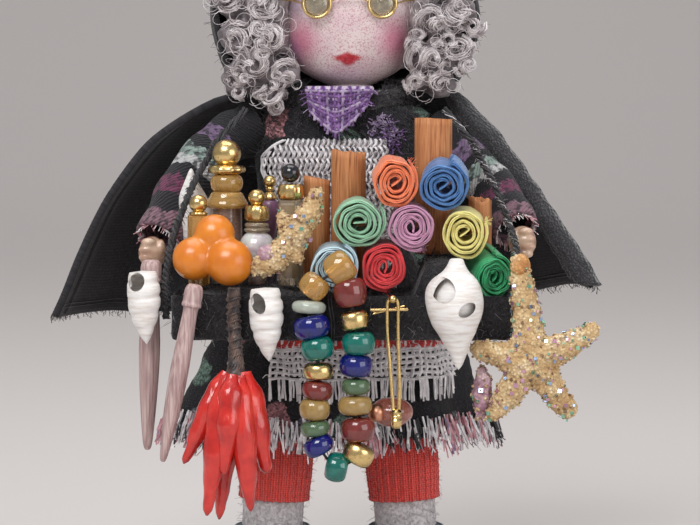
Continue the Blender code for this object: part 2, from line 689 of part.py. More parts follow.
def cape_point(around, down):
    """A point on the cape's inner face: around is -1 (left edge) to 1, down 0 to 1."""
    angle = around * CAPE_OPENING
    side = math.sin(angle)
    reach = CAPE_REACH_LEFT if side < 0.0 else CAPE_REACH_RIGHT
    hem_side = CAPE_HEM_LEFT if side < 0.0 else CAPE_HEM_RIGHT
    hem = CAPE_HEM_BACK + (hem_side - CAPE_HEM_BACK) * side * side
    ring_wide, ring_deep = shoulder_ring()
    top = CAPE_COLLAR_HEIGHT - CAPE_THICKNESS
    middle_y = HOOD_MIDDLE_Y - HOOD_SLACK
    if down < CAPE_SHOULDER_SHARE:
        share = down / CAPE_SHOULDER_SHARE
        wide = CAPE_COLLAR_RADIUS + (ring_wide - CAPE_COLLAR_RADIUS) * share
        deep = CAPE_COLLAR_RADIUS + (ring_deep - CAPE_COLLAR_RADIUS) * share
        return Vector((wide * side, middle_y + deep * math.cos(angle),
                       top - CAPE_SHOULDER_DROP * share))
    share = (down - CAPE_SHOULDER_SHARE) / (1.0 - CAPE_SHOULDER_SHARE)
    bow_side = CAPE_BOW_LEFT if side < 0.0 else CAPE_BOW_RIGHT
    bow = CAPE_BOW_BACK + (bow_side - CAPE_BOW_BACK) * side * side
    bow *= math.sin(math.pi * share ** CAPE_BOW_HIGH)
    fold = CAPE_FOLD_DEPTH * share * math.cos(CAPE_FOLDS * angle)
    wide = ring_wide + (reach - CAPE_THICKNESS - ring_wide) * share + bow
    deep = ring_deep + (CAPE_DEPTH - ring_deep) * share + bow + fold
    top -= CAPE_SHOULDER_DROP
    return Vector((wide * side, middle_y + deep * math.cos(angle), top + (hem - top) * share))


def make_cape(finish):
    """A short felt cape round the back, its front edges at the doll's sides."""
    return sheet("cape", 16, 8, lambda across, down: cape_point(2.0 * across - 1.0, down),
                 CAPE_THICKNESS, finish)


def ankle(side):
    return Vector((LEGS_MIDDLE_X + side * STANCE / 2.0, -1.0 * MM, BOOT_HEIGHT))


def hip(side):
    return Vector((LEGS_MIDDLE_X + side * STANCE_AT_HIP / 2.0, -0.2 * MM, SKIRT_HOLLOW_TOP))


def make_legs(skin, knit, leather):
    for word, side in (("left", -1.0), ("right", 1.0)):
        low = ankle(side) + Vector((0.0, 0.0, GAP))
        high = hip(side) - Vector((0.0, 0.0, 2.0 * GAP))
        leg = tube("leg_" + word, [low, high], LEG_RADIUS, skin, 12)
        low_cut = part("leg_trim", cylinder_mesh(3.0 * LEG_RADIUS, 4.0 * MM, 12), None,
                       low - Vector((0.0, 0.0, 2.0 * MM)))
        high_cut = part("leg_trim", cylinder_mesh(3.0 * LEG_RADIUS, 4.0 * MM, 12), None,
                        high + Vector((0.0, 0.0, 2.0 * MM)))
        with_boolean(leg, "DIFFERENCE", [low_cut, high_cut])
        make_legging(word, side, knit)
        make_boot(word, side, leather)


def make_legging(word, side, finish):
    """A ribbed knitted cuff round the leg."""
    way = (hip(side) - ankle(side)).normalized()
    low = ankle(side) + way * LEGGING_ABOVE_BOOT
    inner = LEG_RADIUS + CLOTH_GAP
    outer = inner + LEGGING_THICKNESS
    bulge = outer + 0.25 * LEGGING_THICKNESS
    profile = [(inner, LEGGING_LENGTH), (outer, LEGGING_LENGTH),
               (bulge, LEGGING_LENGTH * 0.5), (outer, 0.0), (inner, 0.0)]
    mesh = bpy.data.meshes.new("legging")
    points = [(radius, 0.0, height) for radius, height in profile]
    loop = [(i, (i + 1) % len(points)) for i in range(len(points))]
    mesh.from_pydata(points, loop, [])
    legging = part("legging_" + word, mesh, finish, low)
    legging.rotation_euler = way.to_track_quat("Z", "Y").to_euler()
    screw = legging.modifiers.new("turn", "SCREW")
    screw.steps = 14
    screw.render_steps = 14
    screw.use_merge_vertices = True
    screw.merge_threshold = 0.001 * MM
    screw.use_smooth_shade = True
    return legging


def make_boot(word, side, finish):
    """A soft ankle boot with a flat sole, lofted from the sole up."""
    top = BOOT_HEIGHT
    stations = (
        (0.0, 0.92 * BOOT_HALF_WIDTH, 0.93 * BOOT_HEEL, 0.94 * BOOT_TOE),
        (0.05 * top, BOOT_HALF_WIDTH, BOOT_HEEL, BOOT_TOE),
        (0.22 * top, BOOT_HALF_WIDTH, BOOT_HEEL, 0.98 * BOOT_TOE),
        (0.38 * top, 0.95 * BOOT_HALF_WIDTH, 0.93 * BOOT_HEEL, 0.76 * BOOT_TOE),
        (0.50 * top, 0.92 * BOOT_HALF_WIDTH, 0.84 * BOOT_HEEL, 0.52 * BOOT_TOE),
        (0.68 * top, 0.95 * BOOT_TOP_RADIUS, 0.95 * BOOT_TOP_RADIUS, 0.95 * BOOT_TOP_RADIUS),
        (top, BOOT_TOP_RADIUS, BOOT_TOP_RADIUS, BOOT_TOP_RADIUS),
    )
    middle = ankle(side)
    rings = []
    for height, half_width, back, front in stations:
        ring = []
        for i in range(12):
            angle = math.tau * i / 12
            deep = front if math.cos(angle) > 0.0 else back
            ring.append((middle.x + half_width * math.sin(angle),
                         middle.y - deep * math.cos(angle), height))
        rings.append(ring)
    return lofted("boot_" + word, rings, finish, 45.0)


def make_arm(word, route, cloth, skin):
    """A loose sleeve trimmed to the bodice, and a fist at its end."""
    shoulders = Vector((0.0, 0.0, SHOULDER_HEIGHT))
    points = [shoulders + Vector(point) for point in route]
    smooth_points = rounded_route(points, 2)
    last = len(smooth_points) - 1
    radii = [SLEEVE_RADIUS_TOP + (SLEEVE_RADIUS_CUFF - SLEEVE_RADIUS_TOP) * i / last
             for i in range(last + 1)]
    sleeve = tube("sleeve_" + word, smooth_points, radii, cloth, 8)
    with_boolean(sleeve, "DIFFERENCE", [dress_cutter("bodice_room", GAP)])
    way = (smooth_points[-1] - smooth_points[-2]).normalized()
    place = smooth_points[-1] + way * (HAND_HALF_SIZE[2] + GAP)
    turn = way.to_track_quat("Z", "Y").to_euler()
    ball("hand_" + word, HAND_HALF_SIZE, skin, place, turn, 8, 6)


TRAY_TOP = TRAY_BOTTOM + TRAY_HEIGHT
TRAY_BACK = min(dress_point(0.0, height).y for height in (TRAY_BOTTOM, TRAY_TOP))
TRAY_BACK -= FOLD_ROOM + APRON_THICKNESS + GAP
TRAY_FRONT = TRAY_BACK - TRAY_DEPTH


def make_tray(finish):
    """An open cloth-covered tray with its four walls and floor."""
    left = TRAY_MIDDLE_X - TRAY_LENGTH / 2.0
    right = TRAY_MIDDLE_X + TRAY_LENGTH / 2.0
    tray = part("tray", box_mesh((left, TRAY_FRONT, TRAY_BOTTOM),
                                 (right, TRAY_BACK, TRAY_TOP)), finish)
    room = part("tray_room", box_mesh(
        (left + TRAY_WALL, TRAY_FRONT + TRAY_WALL, TRAY_BOTTOM + TRAY_WALL),
        (right - TRAY_WALL, TRAY_BACK - TRAY_WALL, TRAY_TOP + TRAY_HEIGHT)), None)
    return with_boolean(tray, "DIFFERENCE", [room])


BED_LOW_TOP = TRAY_TOP - GAP


def bed_height(x):
    """The padding's top: higher under the bottles and under the right-hand rolls."""
    left = 1.0 - smooth((x + 6.2 * WARE) / (2.4 * WARE))
    right = smooth((x - 5.9 * WARE) / (1.6 * WARE)) * (1.0 - smooth((x - 9.2 * WARE) / (1.8 * WARE)))
    return BED_LOW_TOP + left * BED_LEFT_RISE + right * BED_RIGHT_RISE


def make_tray_bed(finish):
    """The stuffed cloth that fills the tray and carries the wares."""
    half = TRAY_LENGTH / 2.0 - TRAY_WALL - GAP
    front = TRAY_FRONT + TRAY_WALL + GAP
    back = TRAY_BACK - TRAY_WALL - GAP
    low = TRAY_BOTTOM + TRAY_WALL + GAP
    rings = []
    columns = 18
    for i in range(columns + 1):
        x = -half + 2.0 * half * i / columns
        top = bed_height(x)
        edge = min(top, BED_LOW_TOP)
        inset = 0.9 * MM if top > BED_LOW_TOP + GAP else 0.3 * MM
        place = TRAY_MIDDLE_X + x
        rings.append([(place, front, low), (place, back, low), (place, back, edge),
                      (place, back - inset, top), (place, front + inset, top),
                      (place, front, edge)])
    return lofted("tray_bed", rings, finish)


def tray_side(side):
    return TRAY_MIDDLE_X + side * TRAY_LENGTH / 2.0


def make_straps(finish):
    """Two twisted cords from the shoulders down to the tray's front corners."""
    reach = STRAP_RADIUS + GAP
    for word, side, bulge in (("left", -1.0, STRAP_BULGE_LEFT), ("right", 1.0, STRAP_BULGE_RIGHT)):
        end = Vector((tray_side(side) + side * reach, TRAY_FRONT + STRAP_END_BACK,
                      TRAY_BOTTOM + STRAP_END_RISE))
        top = Vector((side * STRAP_TOP_X, STRAP_TOP_Y, SHOULDER_HEIGHT + STRAP_TOP_RISE))
        rim = Vector((end.x + side * GAP, TRAY_FRONT + STRAP_RIM_BACK,
                      TRAY_TOP + STRAP_RIM_RISE))
        outward = Vector((side * bulge, 0.0, 0.0))
        points = [top, top.lerp(rim, 0.32) + outward, top.lerp(rim, 0.68) + 0.8 * outward, rim,
                  Vector((end.x, end.y, TRAY_TOP - STRAP_BEND_DROP)), end]
        tube("strap_" + word, rounded_route(points, 3), STRAP_RADIUS, finish, 6)


ROLL_FRONT = TRAY_FRONT + GAP
ROLL_ROW_BASE = TRAY_TOP + GAP


def make_roll(name, finish):
    """A rolled ribbon: a spiral outline with a step at its end and an open core."""
    column, row, wide, high = ROLLS[name]
    half_width = (ROLL_DIAMETER * wide - ROLL_SPACE) / 2.0
    half_height = (ROLL_DIAMETER * high - ROLL_SPACE) / 2.0
    count = 16
    outer = []
    for i in range(count):
        shrink = ROLL_STEP * i / count
        angle = math.radians(35.0) + math.tau * i / count
        outer.append(((half_width - shrink) * math.cos(angle),
                      (half_height - shrink) * math.sin(angle)))
    core = ellipse(ROLL_CORE_WIDTH / 2.0, ROLL_CORE_HEIGHT / 2.0, 6)
    x = ROLL_STACK_X + column * ROLL_DIAMETER
    z = ROLL_ROW_BASE + (0.5 + row) * ROLL_DIAMETER
    place = (x, ROLL_FRONT + ROLL_LENGTH / 2.0, z)
    return extruded(name, [outer, core], ROLL_LENGTH, finish, place,
                    (math.pi / 2.0, 0.0, 0.0))


STICK_GIRTH = max(radius for _, radius, _ in STICKS.values()) * WARE
STICK_Y = TRAY_BACK - TRAY_WALL - 2.0 * GAP - STICK_GIRTH


def make_stick(name, finish):
    """A curled strip of bark, its long edge turned in, with a slanted top."""
    x, radius, tall = STICKS[name]
    radius *= WARE
    outline = []
    for i in range(12):
        angle = math.tau * i / 12
        dent = 1.0 - STICK_SCROLL * (i == 3)
        outline.append((radius * dent * math.cos(angle), radius * dent * math.sin(angle)))
    low = bed_height(x * WARE) + GAP
    high = low + tall * WARE
    slant = STICK_SLANT if x > 6.0 else -STICK_SLANT
    rings = [[(x * WARE + a, STICK_Y + b, low) for a, b in outline],
             [(x * WARE + a, STICK_Y + b, high + slant * a) for a, b in outline]]
    return lofted(name, rings, finish, 40.0)


# Bottles and jars made of beads, as radius and height above the bed, top down
BOTTLES = {
    "bottle_tall": (
        (-10.9, 7.2), (
            (0.0, 13.2), (0.8, 13.0), (1.30, 12.2), (1.36, 11.6), (1.0, 10.6), (1.62, 10.4),
            (1.62, 9.9), (1.35, 9.5), (1.5, 8.6), (1.5, 8.0), (1.9, 7.4), (1.5, 6.8), (1.4, 2.0),
            (1.1, 0.0), (0.0, 0.0))),
    "bottle_small": (
        (-13.35, 4.6), (
            (0.0, 8.2), (0.55, 8.0), (0.82, 7.4), (0.55, 6.8), (0.7, 6.5), (1.0, 6.1),
            (1.0, 1.0), (0.8, 0.0), (0.0, 0.0))),
    "bottle_pearl": (
        (-8.05, 4.9), (
            (0.0, 8.7), (0.5, 8.5), (0.77, 7.9), (0.5, 7.3), (0.95, 7.1), (1.0, 6.1), (0.8, 5.6),
            (1.15, 5.3), (0.9, 4.9), (1.5, 4.2), (1.62, 3.5), (1.4, 2.6), (0.8, 2.0), (0.8, 0.0),
            (0.0, 0.0))),
    "bottle_purple": (
        (-6.95, 7.6), (
            (0.0, 9.9), (0.4, 9.7), (0.58, 9.3), (0.35, 8.8), (0.55, 8.3), (0.35, 7.8),
            (0.75, 7.3), (0.82, 6.4), (0.62, 4.6), (0.3, 3.2), (0.3, 0.0), (0.0, 0.0))),
    "bottle_black_top": (
        (-4.95, 4.3), (
            (0.0, 11.1), (0.6, 10.8), (0.86, 10.1), (0.6, 9.4), (1.1, 9.1), (1.12, 7.8),
            (0.9, 7.4), (1.15, 7.0), (1.15, 1.0), (0.9, 0.0), (0.0, 0.0))),
}


def make_bottle(name, finish):
    (x, from_front), profile = BOTTLES[name]
    place = (x * WARE, TRAY_FRONT + from_front * WARE,
             max(bed_height(x * WARE), bed_height((x + 1.2) * WARE), bed_height((x - 1.2) * WARE)) + GAP)
    points = [(radius * WARE, height * WARE) for radius, height in profile]
    return turned(name, points, finish, place, steps=8)


def make_oranges(finish):
    """Three oranges run together where they touch."""
    fruit = (((-13.60, 1.5, 3.05), 1.95), ((-10.35, 0.9, 2.75), 2.1), ((-11.75, 2.1, 5.2), 1.85))
    balls = []
    for (x, behind, up), radius in fruit:
        place = (x * WARE, TRAY_FRONT + behind * WARE, TRAY_TOP + up * WARE)
        balls.append(ball("orange", radius * WARE, None, place, segments=10, rings=7))
    oranges = balls[0]
    oranges.name = "oranges"
    oranges.data.materials.append(finish)
    return with_boolean(oranges, "UNION", balls[1:])


TALL_SHELL_LEAN = math.radians(13.0)


def make_tall_shell(finish):
    """A pointed white shell that leans back in the tray's back left corner."""
    profile = ((0.0, 10.2), (0.5, 9.8), (1.05, 8.4), (1.20, 7.2), (1.0, 3.6), (0.6, 0.0),
               (0.0, 0.0))
    points = [(radius * WARE, height * WARE) for radius, height in profile]
    foot = 0.6 * WARE
    place = (-14.0 * WARE, TRAY_BACK - TRAY_WALL - foot - 3.0 * GAP,
             TRAY_TOP + BED_LEFT_RISE + GAP + foot * math.sin(TALL_SHELL_LEAN))
    return turned("shell_tall", points, finish, place, (-TALL_SHELL_LEAN, 0.0, 0.0), steps=8)


# A small starfish lying curled in the tray, arm by arm: X, behind the front, up
SMALL_STAR_ARMS = (
    ((-8.0, 0.55, 2.3), (-6.4, 0.6, 3.0), (-4.6, 0.7, 5.0), (-3.4, 0.7, 7.0), (-2.75, 0.9, 8.7)),
    ((-4.6, 0.7, 5.0), (-5.7, 1.2, 6.9)),
    ((-4.6, 0.7, 5.0), (-4.1, 0.5, 3.2)),
)


def make_small_starfish(finish):
    arms = []
    for arm in SMALL_STAR_ARMS:
        points = rounded_route([Vector((x * WARE, TRAY_FRONT + back * WARE, TRAY_TOP + up * WARE))
                                for x, back, up in arm], 2)
        last = len(points) - 1
        if len(arm) > 2:
            radii = [(0.55 + 0.62 * math.sin(math.pi * i / last)) * WARE for i in range(last + 1)]
        else:
            radii = [(1.0 - 0.5 * i / last) * WARE for i in range(last + 1)]
        arms.append(tube("star_arm", points, radii, None, 6))
    star = arms[0]
    star.name = "starfish_small"
    star.data.materials.append(finish)
    return with_boolean(star, "UNION", arms[1:])


def hanging(x, out, up):
    """A place in front of the tray, up from its rim, in millimetres."""
    return Vector((x * WARE, TRAY_FRONT - out * WARE, TRAY_TOP + up * WARE))


def hanging_shell(name, profile, place, finish, lean=0.0):
    """A turned shell with its point hanging down."""
    points = [(radius * WARE, height * WARE) for radius, height in profile]
    return turned(name, points, finish, place, (0.0, lean, 0.0), steps=10)


def whorled(radius, length, whorls, top):
    """Radius and height down a whorled shell from its rounded top to its point."""
    points = [(0.0, top)]
    for step in range(1, whorls * 2 + 1):
        share = step / (whorls * 2.0)
        full = radius * math.sin(math.pi * min(0.30 + 0.70 * share, 1.0)) ** 0.8
        waist = 1.0 if step % 2 else 0.86
        points.append((max(full * waist, 0.12), top - length * share ** 1.05))
    points[-1] = (0.0, top - length)
    return points


SHELL_BIG_PROFILE = (
    (0.0, 3.2), (0.7, 3.1), (0.85, 2.5), (1.7, 1.4), (2.4, 0.1), (2.55, -1.2), (2.2, -2.6),
    (1.3, -4.2), (0.62, -5.6), (0.3, -6.7), (0.0, -6.9))
SHELL_BIG_RADIUS = max(radius for radius, _ in SHELL_BIG_PROFILE)
SHELL_SMALL_RADIUS = 1.45
SHELL_SMALL_LENGTH = 6.5
SHELL_WHORLS = 4


def make_hanging_shells(finish):
    """A big white shell and two small ones, sewn to the tray by their tops."""
    gap = 0.15
    hanging_shell("shell_big", SHELL_BIG_PROFILE, hanging(10.2, SHELL_BIG_RADIUS + gap, 0.2),
                  finish)
    small = whorled(SHELL_SMALL_RADIUS, SHELL_SMALL_LENGTH, SHELL_WHORLS, 0.0)
    hanging_shell("shell_small", small, hanging(-7.1, SHELL_SMALL_RADIUS + gap, 0.6), finish)
    beside = tray_side(-1.0) - 2.0 * STRAP_RADIUS - SHELL_SMALL_RADIUS * WARE
    place = Vector((beside - GAP, TRAY_FRONT - 3.0 * GAP, TRAY_TOP + 2.0 * WARE))
    hanging_shell("shell_left", small, place, finish, lean=math.radians(4.0))


def make_spines(finish):
    """Two sea-urchin spines: a head, a collar and a long tapering shaft."""
    strap_room = 2.0 * (STRAP_RADIUS + GAP)
    side = tray_side(-1.0) - strap_room - 0.9 * WARE
    first = Vector((side, TRAY_FRONT + 2.9 * WARE, TRAY_TOP + 3.3 * WARE))
    first_tip = Vector((side - 0.3 * WARE, TRAY_FRONT + 1.6 * WARE, TRAY_TOP - 14.5 * WARE))
    second = hanging(-13.2, 1.15, 1.2)
    second_tip = hanging(-16.3, 2.2, -14.9)
    for name, head, tip, girth in (("urchin_spine_a", first, first_tip, 0.9 * WARE),
                                   ("urchin_spine_b", second, second_tip, 0.72 * WARE)):
        way = (tip - head).normalized()
        points = [head, head + way * 0.25 * WARE, head + way * 1.3 * WARE, head + way * 1.5 * WARE,
                  head + way * 1.9 * WARE, head.lerp(tip, 0.45), head.lerp(tip, 0.85), tip]
        radii = [0.6 * girth, 0.95 * girth, girth, 1.02 * girth, 0.80 * girth, girth,
                 0.55 * girth, 0.30 * girth]
        tube(name, points, radii, finish, 6)


# Chilli peppers: where each leaves the tie and where its tip hangs, then girth
PEPPERS = (
    ((-10.5, 2.4, -7.0), (-14.3, 2.9, -14.9), 0.95),
    ((-10.4, 3.4, -7.2), (-12.2, 4.2, -19.3), 1.15),
    ((-9.8, 2.2, -7.6), (-11.2, 2.4, -19.9), 1.05),
    ((-9.4, 3.5, -7.2), (-8.3, 4.3, -18.9), 1.15),
    ((-9.0, 2.5, -7.0), (-6.9, 3.1, -15.7), 1.25),
    ((-9.9, 4.0, -7.0), (-10.6, 5.0, -15.5), 1.0),
)


PEPPER_SHAPE = (0.60, 0.92, 1.00, 0.72, 0.16)


def make_peppers(finish):
    """A bunch of chilli peppers on one bound stem, hanging from the tray."""
    stem_points = [hanging(-9.9, 0.95, 0.4), hanging(-9.9, 1.1, -2.0), hanging(-9.7, 1.9, -4.6),
                   hanging(-9.7, 2.9, -7.6)]
    bunch = tube("pepper_bunch", stem_points, [0.75 * WARE, 0.6 * WARE, 0.75 * WARE, 1.35 * WARE],
                 finish, 6)
    peppers = []
    for start, tip, girth in PEPPERS:
        head, end = hanging(*start), hanging(*tip)
        belly = head.lerp(end, 0.45) + Vector((0.0, -0.35 * WARE, 0.0))
        points = rounded_route([head, belly, end], 2)
        last = len(points) - 1
        radii = [girth * WARE * PEPPER_SHAPE[i] for i in range(last + 1)]
        peppers.append(tube("pepper", points, radii, None, 6))
    return with_boolean(bunch, "UNION", peppers)


# Beads from the left strand's top, down it, and up the right strand:
# X, out from the tray, up from its rim, radius, half length along the string
BEADS = (
    (-0.45, 1.70, 2.45, 1.45, 1.25), (-2.75, 1.55, 0.80, 1.30, 1.05),
    (-3.20, 1.65, -1.05, 1.50, 0.60), (-2.95, 1.80, -2.80, 1.60, 1.05),
    (-2.45, 1.80, -4.70, 1.45, 1.05), (-2.35, 1.80, -6.75, 1.30, 0.75),
    (-2.45, 1.80, -8.45, 1.35, 0.85), (-2.70, 1.80, -10.15, 1.35, 0.95),
    (-2.65, 1.80, -11.85, 1.30, 0.70), (-2.35, 1.80, -13.40, 1.35, 0.85),
    (-0.75, 1.80, -15.35, 1.30, 1.00), (1.20, 1.80, -14.15, 1.38, 0.95),
    (1.15, 1.80, -11.95, 1.48, 1.10), (0.90, 1.80, -9.80, 1.50, 0.85),
    (0.98, 1.80, -8.10, 1.25, 0.72), (0.98, 1.80, -6.25, 1.45, 1.00),
    (1.22, 1.80, -4.25, 1.45, 1.05), (0.80, 1.75, -2.20, 1.28, 0.85),
    (0.45, 1.70, 0.25, 1.45, 1.30),
)


def make_bead_string(finish):
    """One string of nineteen glass beads, touching hole to hole."""
    places = [hanging(x, out, up) for x, out, up, _, _ in BEADS]
    points = []
    radii = []
    for i, (_, _, _, radius, half) in enumerate(BEADS):
        before = places[max(i - 1, 0)]
        after = places[min(i + 1, len(places) - 1)]
        way = (after - before).normalized()
        for share, girth in ((-0.96, 0.50), (-0.42, 1.0), (0.42, 1.0), (0.96, 0.50)):
            points.append(places[i] + way * share * half * WARE)
            radii.append(girth * radius * WARE)
    return tube("bead_string", points, radii, finish, 6)


def make_pin(gold, rose):
    """A looped gold pin with a bar, and the bead that it carries."""
    wire = 0.26 * WARE
    left = [hanging(3.75, 1.2, -1.4), hanging(3.8, 1.2, -3.5), hanging(4.25, 1.2, -6.9),
            hanging(4.55, 1.2, -10.0), hanging(4.6, 1.2, -13.4)]
    right = [hanging(4.7, 1.2, -1.4), hanging(4.75, 1.2, -3.5), hanging(4.25, 1.2, -6.9),
             hanging(3.95, 1.2, -10.0), hanging(4.6, 1.2, -13.4)]
    bar = [hanging(2.6, 1.2, -1.5), hanging(5.4, 1.2, -1.5)]
    loop = [hanging(3.75, 1.2, -1.5), hanging(3.9, 1.2, -0.8), hanging(4.5, 1.2, -0.8),
            hanging(4.7, 1.2, -1.5)]
    wires = [tube("wire", points, wire, None, 6) for points in (right, bar, loop)]
    crimp = ball("crimp", (0.6 * WARE, 0.5 * WARE, 0.8 * WARE), None, hanging(4.6, 1.2, -13.2),
                 segments=8, rings=5)
    pin = tube("pin", left, wire, gold, 6)
    with_boolean(pin, "UNION", [*wires, crimp])
    profile = ((0.55, 1.1), (1.4, 0.9), (1.8, 0.0), (1.4, -0.9), (0.55, -1.1))
    points = [(0.0, 1.1 * WARE)] + [(r * WARE, h * WARE) for r, h in profile] + [(0.0, -1.1 * WARE)]
    turned("pin_bead", points, rose, hanging(4.2, -1.0, -12.7), steps=10)


STAR_MIDDLE = (17.2, 1.45, -6.4)
STAR_TIPS = ((15.9, 3.0), (22.9, -3.6), (20.9, -10.8), (13.9, -11.2), (12.2, -5.3))
STAR_ARM_RADIUS = 1.35


def make_starfish(finish):
    """A dried starfish that hangs at the tray's right-hand corner."""
    middle = hanging(*STAR_MIDDLE)
    star = ball("starfish", (2.5 * WARE, 1.2 * WARE, 2.5 * WARE), finish, middle, segments=8, rings=5)
    arms = []
    for x, up in STAR_TIPS:
        tip = hanging(x, STAR_MIDDLE[1] - 0.1, up)
        points = [middle, middle.lerp(tip, 0.45), middle.lerp(tip, 0.75), tip]
        radii = [STAR_ARM_RADIUS * WARE * share for share in (1.0, 0.95, 0.78, 0.50)]
        arms.append(tube("star_arm", points, radii, None, 6))
    with_boolean(star, "UNION", arms)
    coral = ball("coral_piece", (0.95 * WARE, 0.9 * WARE, 2.3 * WARE), finish,
                 hanging(12.3, 0.3, -8.9), (0.0, math.radians(-8.0), 0.0), 8, 6)
    return coral


def centred_place(pieces):
    """How far to move the doll so that its middle stands over the origin."""
    bpy.context.view_layer.update()
    graph = bpy.context.evaluated_depsgraph_get()
    places = []
    for piece in pieces:
        ready = piece.evaluated_get(graph)
        mesh = ready.to_mesh()
        places += [ready.matrix_world @ vertex.co for vertex in mesh.vertices]
        ready.to_mesh_clear()
    x = [place.x for place in places]
    y = [place.y for place in places]
    return Vector((-(min(x) + max(x)) / 2.0, -(min(y) + max(y)) / 2.0, 0.0))


for leftover in list(bpy.data.objects):
    bpy.data.objects.remove(leftover)
PARTS = new_collection("peddler_doll")
CUTTERS = new_collection("cutters")
DOLL = bpy.data.objects.new("doll_middle", None)
PARTS.objects.link(DOLL)

black_cloth = colour("black_cloth", (0.012, 0.011, 0.014), 0.95)
white_hair = colour("white_hair", (0.62, 0.60, 0.62), 0.5)
face_paint = colour("face_paint", (0.72, 0.58, 0.58), 0.55)
eye_glass = colour("eye_glass", (0.30, 0.35, 0.38), 0.08)
gold = colour("gold", (0.80, 0.56, 0.18), 0.22, 1.0)
print_cloth = colour("print_cloth", (0.05, 0.04, 0.06), 0.9)
white_gauze = colour("white_gauze", (0.75, 0.74, 0.74), 0.9)
purple_check = colour("purple_check", (0.32, 0.16, 0.42), 0.9)
grey_felt = colour("grey_felt", (0.45, 0.42, 0.43), 0.95)
red_knit = colour("red_knit", (0.62, 0.06, 0.07), 0.85)
boot_leather = colour("boot_leather", (0.16, 0.24, 0.28), 0.6)
hand_skin = colour("hand_skin", (0.62, 0.44, 0.34), 0.35)
orange_resin = colour("orange_resin", (0.85, 0.32, 0.03), 0.3)
amber_glass = colour("amber_glass", (0.55, 0.33, 0.10), 0.15)
pearl = colour("pearl", (0.75, 0.73, 0.75), 0.2)
purple_glass = colour("purple_glass", (0.22, 0.08, 0.22), 0.2)
shell_white = colour("shell_white", (0.78, 0.75, 0.72), 0.5)
star_sand = colour("star_sand", (0.66, 0.50, 0.30), 0.9)
cinnamon = colour("cinnamon", (0.55, 0.24, 0.10), 0.75)
spine_mauve = colour("spine_mauve", (0.42, 0.30, 0.30), 0.55)
pepper_red = colour("pepper_red", (0.62, 0.05, 0.04), 0.25)
bead_glass = colour("bead_glass", (0.06, 0.25, 0.28), 0.12)
rose_glass = colour("rose_glass", (0.60, 0.22, 0.14), 0.2)

make_head(face_paint)
make_eyes(eye_glass)
make_spectacles(gold)
make_hair(white_hair)
make_hood(black_cloth)
make_cape(black_cloth)
make_dress(print_cloth)
make_apron(white_gauze)
make_neckerchief(purple_check)
make_arm("left", SLEEVE_LEFT_ROUTE, print_cloth, hand_skin)
make_arm("right", SLEEVE_RIGHT_ROUTE, print_cloth, hand_skin)
make_legs(grey_felt, red_knit, boot_leather)
make_tray(black_cloth)
make_tray_bed(black_cloth)
make_straps(black_cloth)
for roll_name, roll_rgb in ROLL_COLOURS.items():
    make_roll(roll_name, colour(roll_name, roll_rgb, 0.6))
for stick_name in STICKS:
    make_stick(stick_name, cinnamon)
make_bottle("bottle_tall", amber_glass)
make_bottle("bottle_small", gold)
make_bottle("bottle_pearl", pearl)
make_bottle("bottle_purple", purple_glass)
make_bottle("bottle_black_top", gold)
make_oranges(orange_resin)
make_tall_shell(shell_white)
make_small_starfish(star_sand)
make_hanging_shells(shell_white)
make_spines(spine_mauve)
make_peppers(pepper_red)
make_bead_string(bead_glass)
make_pin(gold, rose_glass)
make_starfish(star_sand)

DOLL.location = centred_place([piece for piece in PARTS.objects if piece.type != "EMPTY"])
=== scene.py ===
"""Peddler doll: the dressed and finished figure with her tray of wares.

Every length below is in millimetres and is turned into metres by MM. The doll's
own upright axis is at MIDDLE, and the wares are placed from the tray's front.
"""

import random
from math import asin, atan2, copysign, cos, exp, pi, radians, sin, sqrt, tau

import bmesh
import bpy
from mathutils import Matrix, Vector, noise


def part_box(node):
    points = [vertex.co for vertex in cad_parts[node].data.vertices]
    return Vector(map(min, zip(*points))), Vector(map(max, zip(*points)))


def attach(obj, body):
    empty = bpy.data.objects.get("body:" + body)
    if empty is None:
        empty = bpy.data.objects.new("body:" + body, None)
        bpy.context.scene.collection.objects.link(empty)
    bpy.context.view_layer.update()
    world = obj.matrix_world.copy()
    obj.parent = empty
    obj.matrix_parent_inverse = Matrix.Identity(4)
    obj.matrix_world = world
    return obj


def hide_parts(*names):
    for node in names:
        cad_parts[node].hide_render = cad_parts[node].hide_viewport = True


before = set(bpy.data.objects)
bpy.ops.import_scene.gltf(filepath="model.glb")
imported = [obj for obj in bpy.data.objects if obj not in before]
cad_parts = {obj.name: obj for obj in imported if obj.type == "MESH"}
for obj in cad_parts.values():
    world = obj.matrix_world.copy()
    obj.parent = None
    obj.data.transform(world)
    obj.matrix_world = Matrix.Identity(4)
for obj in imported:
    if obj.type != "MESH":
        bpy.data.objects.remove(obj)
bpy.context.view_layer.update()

MM = 0.001
HEAD_X = 0.4
HEAD_LOW, HEAD_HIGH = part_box("head")
TRAY_LOW, TRAY_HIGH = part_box("tray")
MIDDLE = Vector(((HEAD_LOW.x + HEAD_HIGH.x) / 2 - HEAD_X * MM,
                 (HEAD_LOW.y + HEAD_HIGH.y) / 2, 0))
EYE_Z = 59.5
HEAD_SIZE = (6.4, 6.0, 7.6)


def at(x, y, z):
    """A place in the doll's own frame, in millimetres, as a place in the scene."""
    return MIDDLE + Vector((x, y, z)) * MM


def ware(x, behind, up):
    """A place by its distance behind the tray's front and over its rim."""
    return Vector((MIDDLE.x + x * MM, TRAY_LOW.y + behind * MM, TRAY_HIGH.z + up * MM))


def hanging(x, out, up):
    """A place in front of the tray, over its rim."""
    return ware(x, -out, up)


def smooth(share):
    share = min(max(share, 0), 1)
    return share * share * (3 - 2 * share)


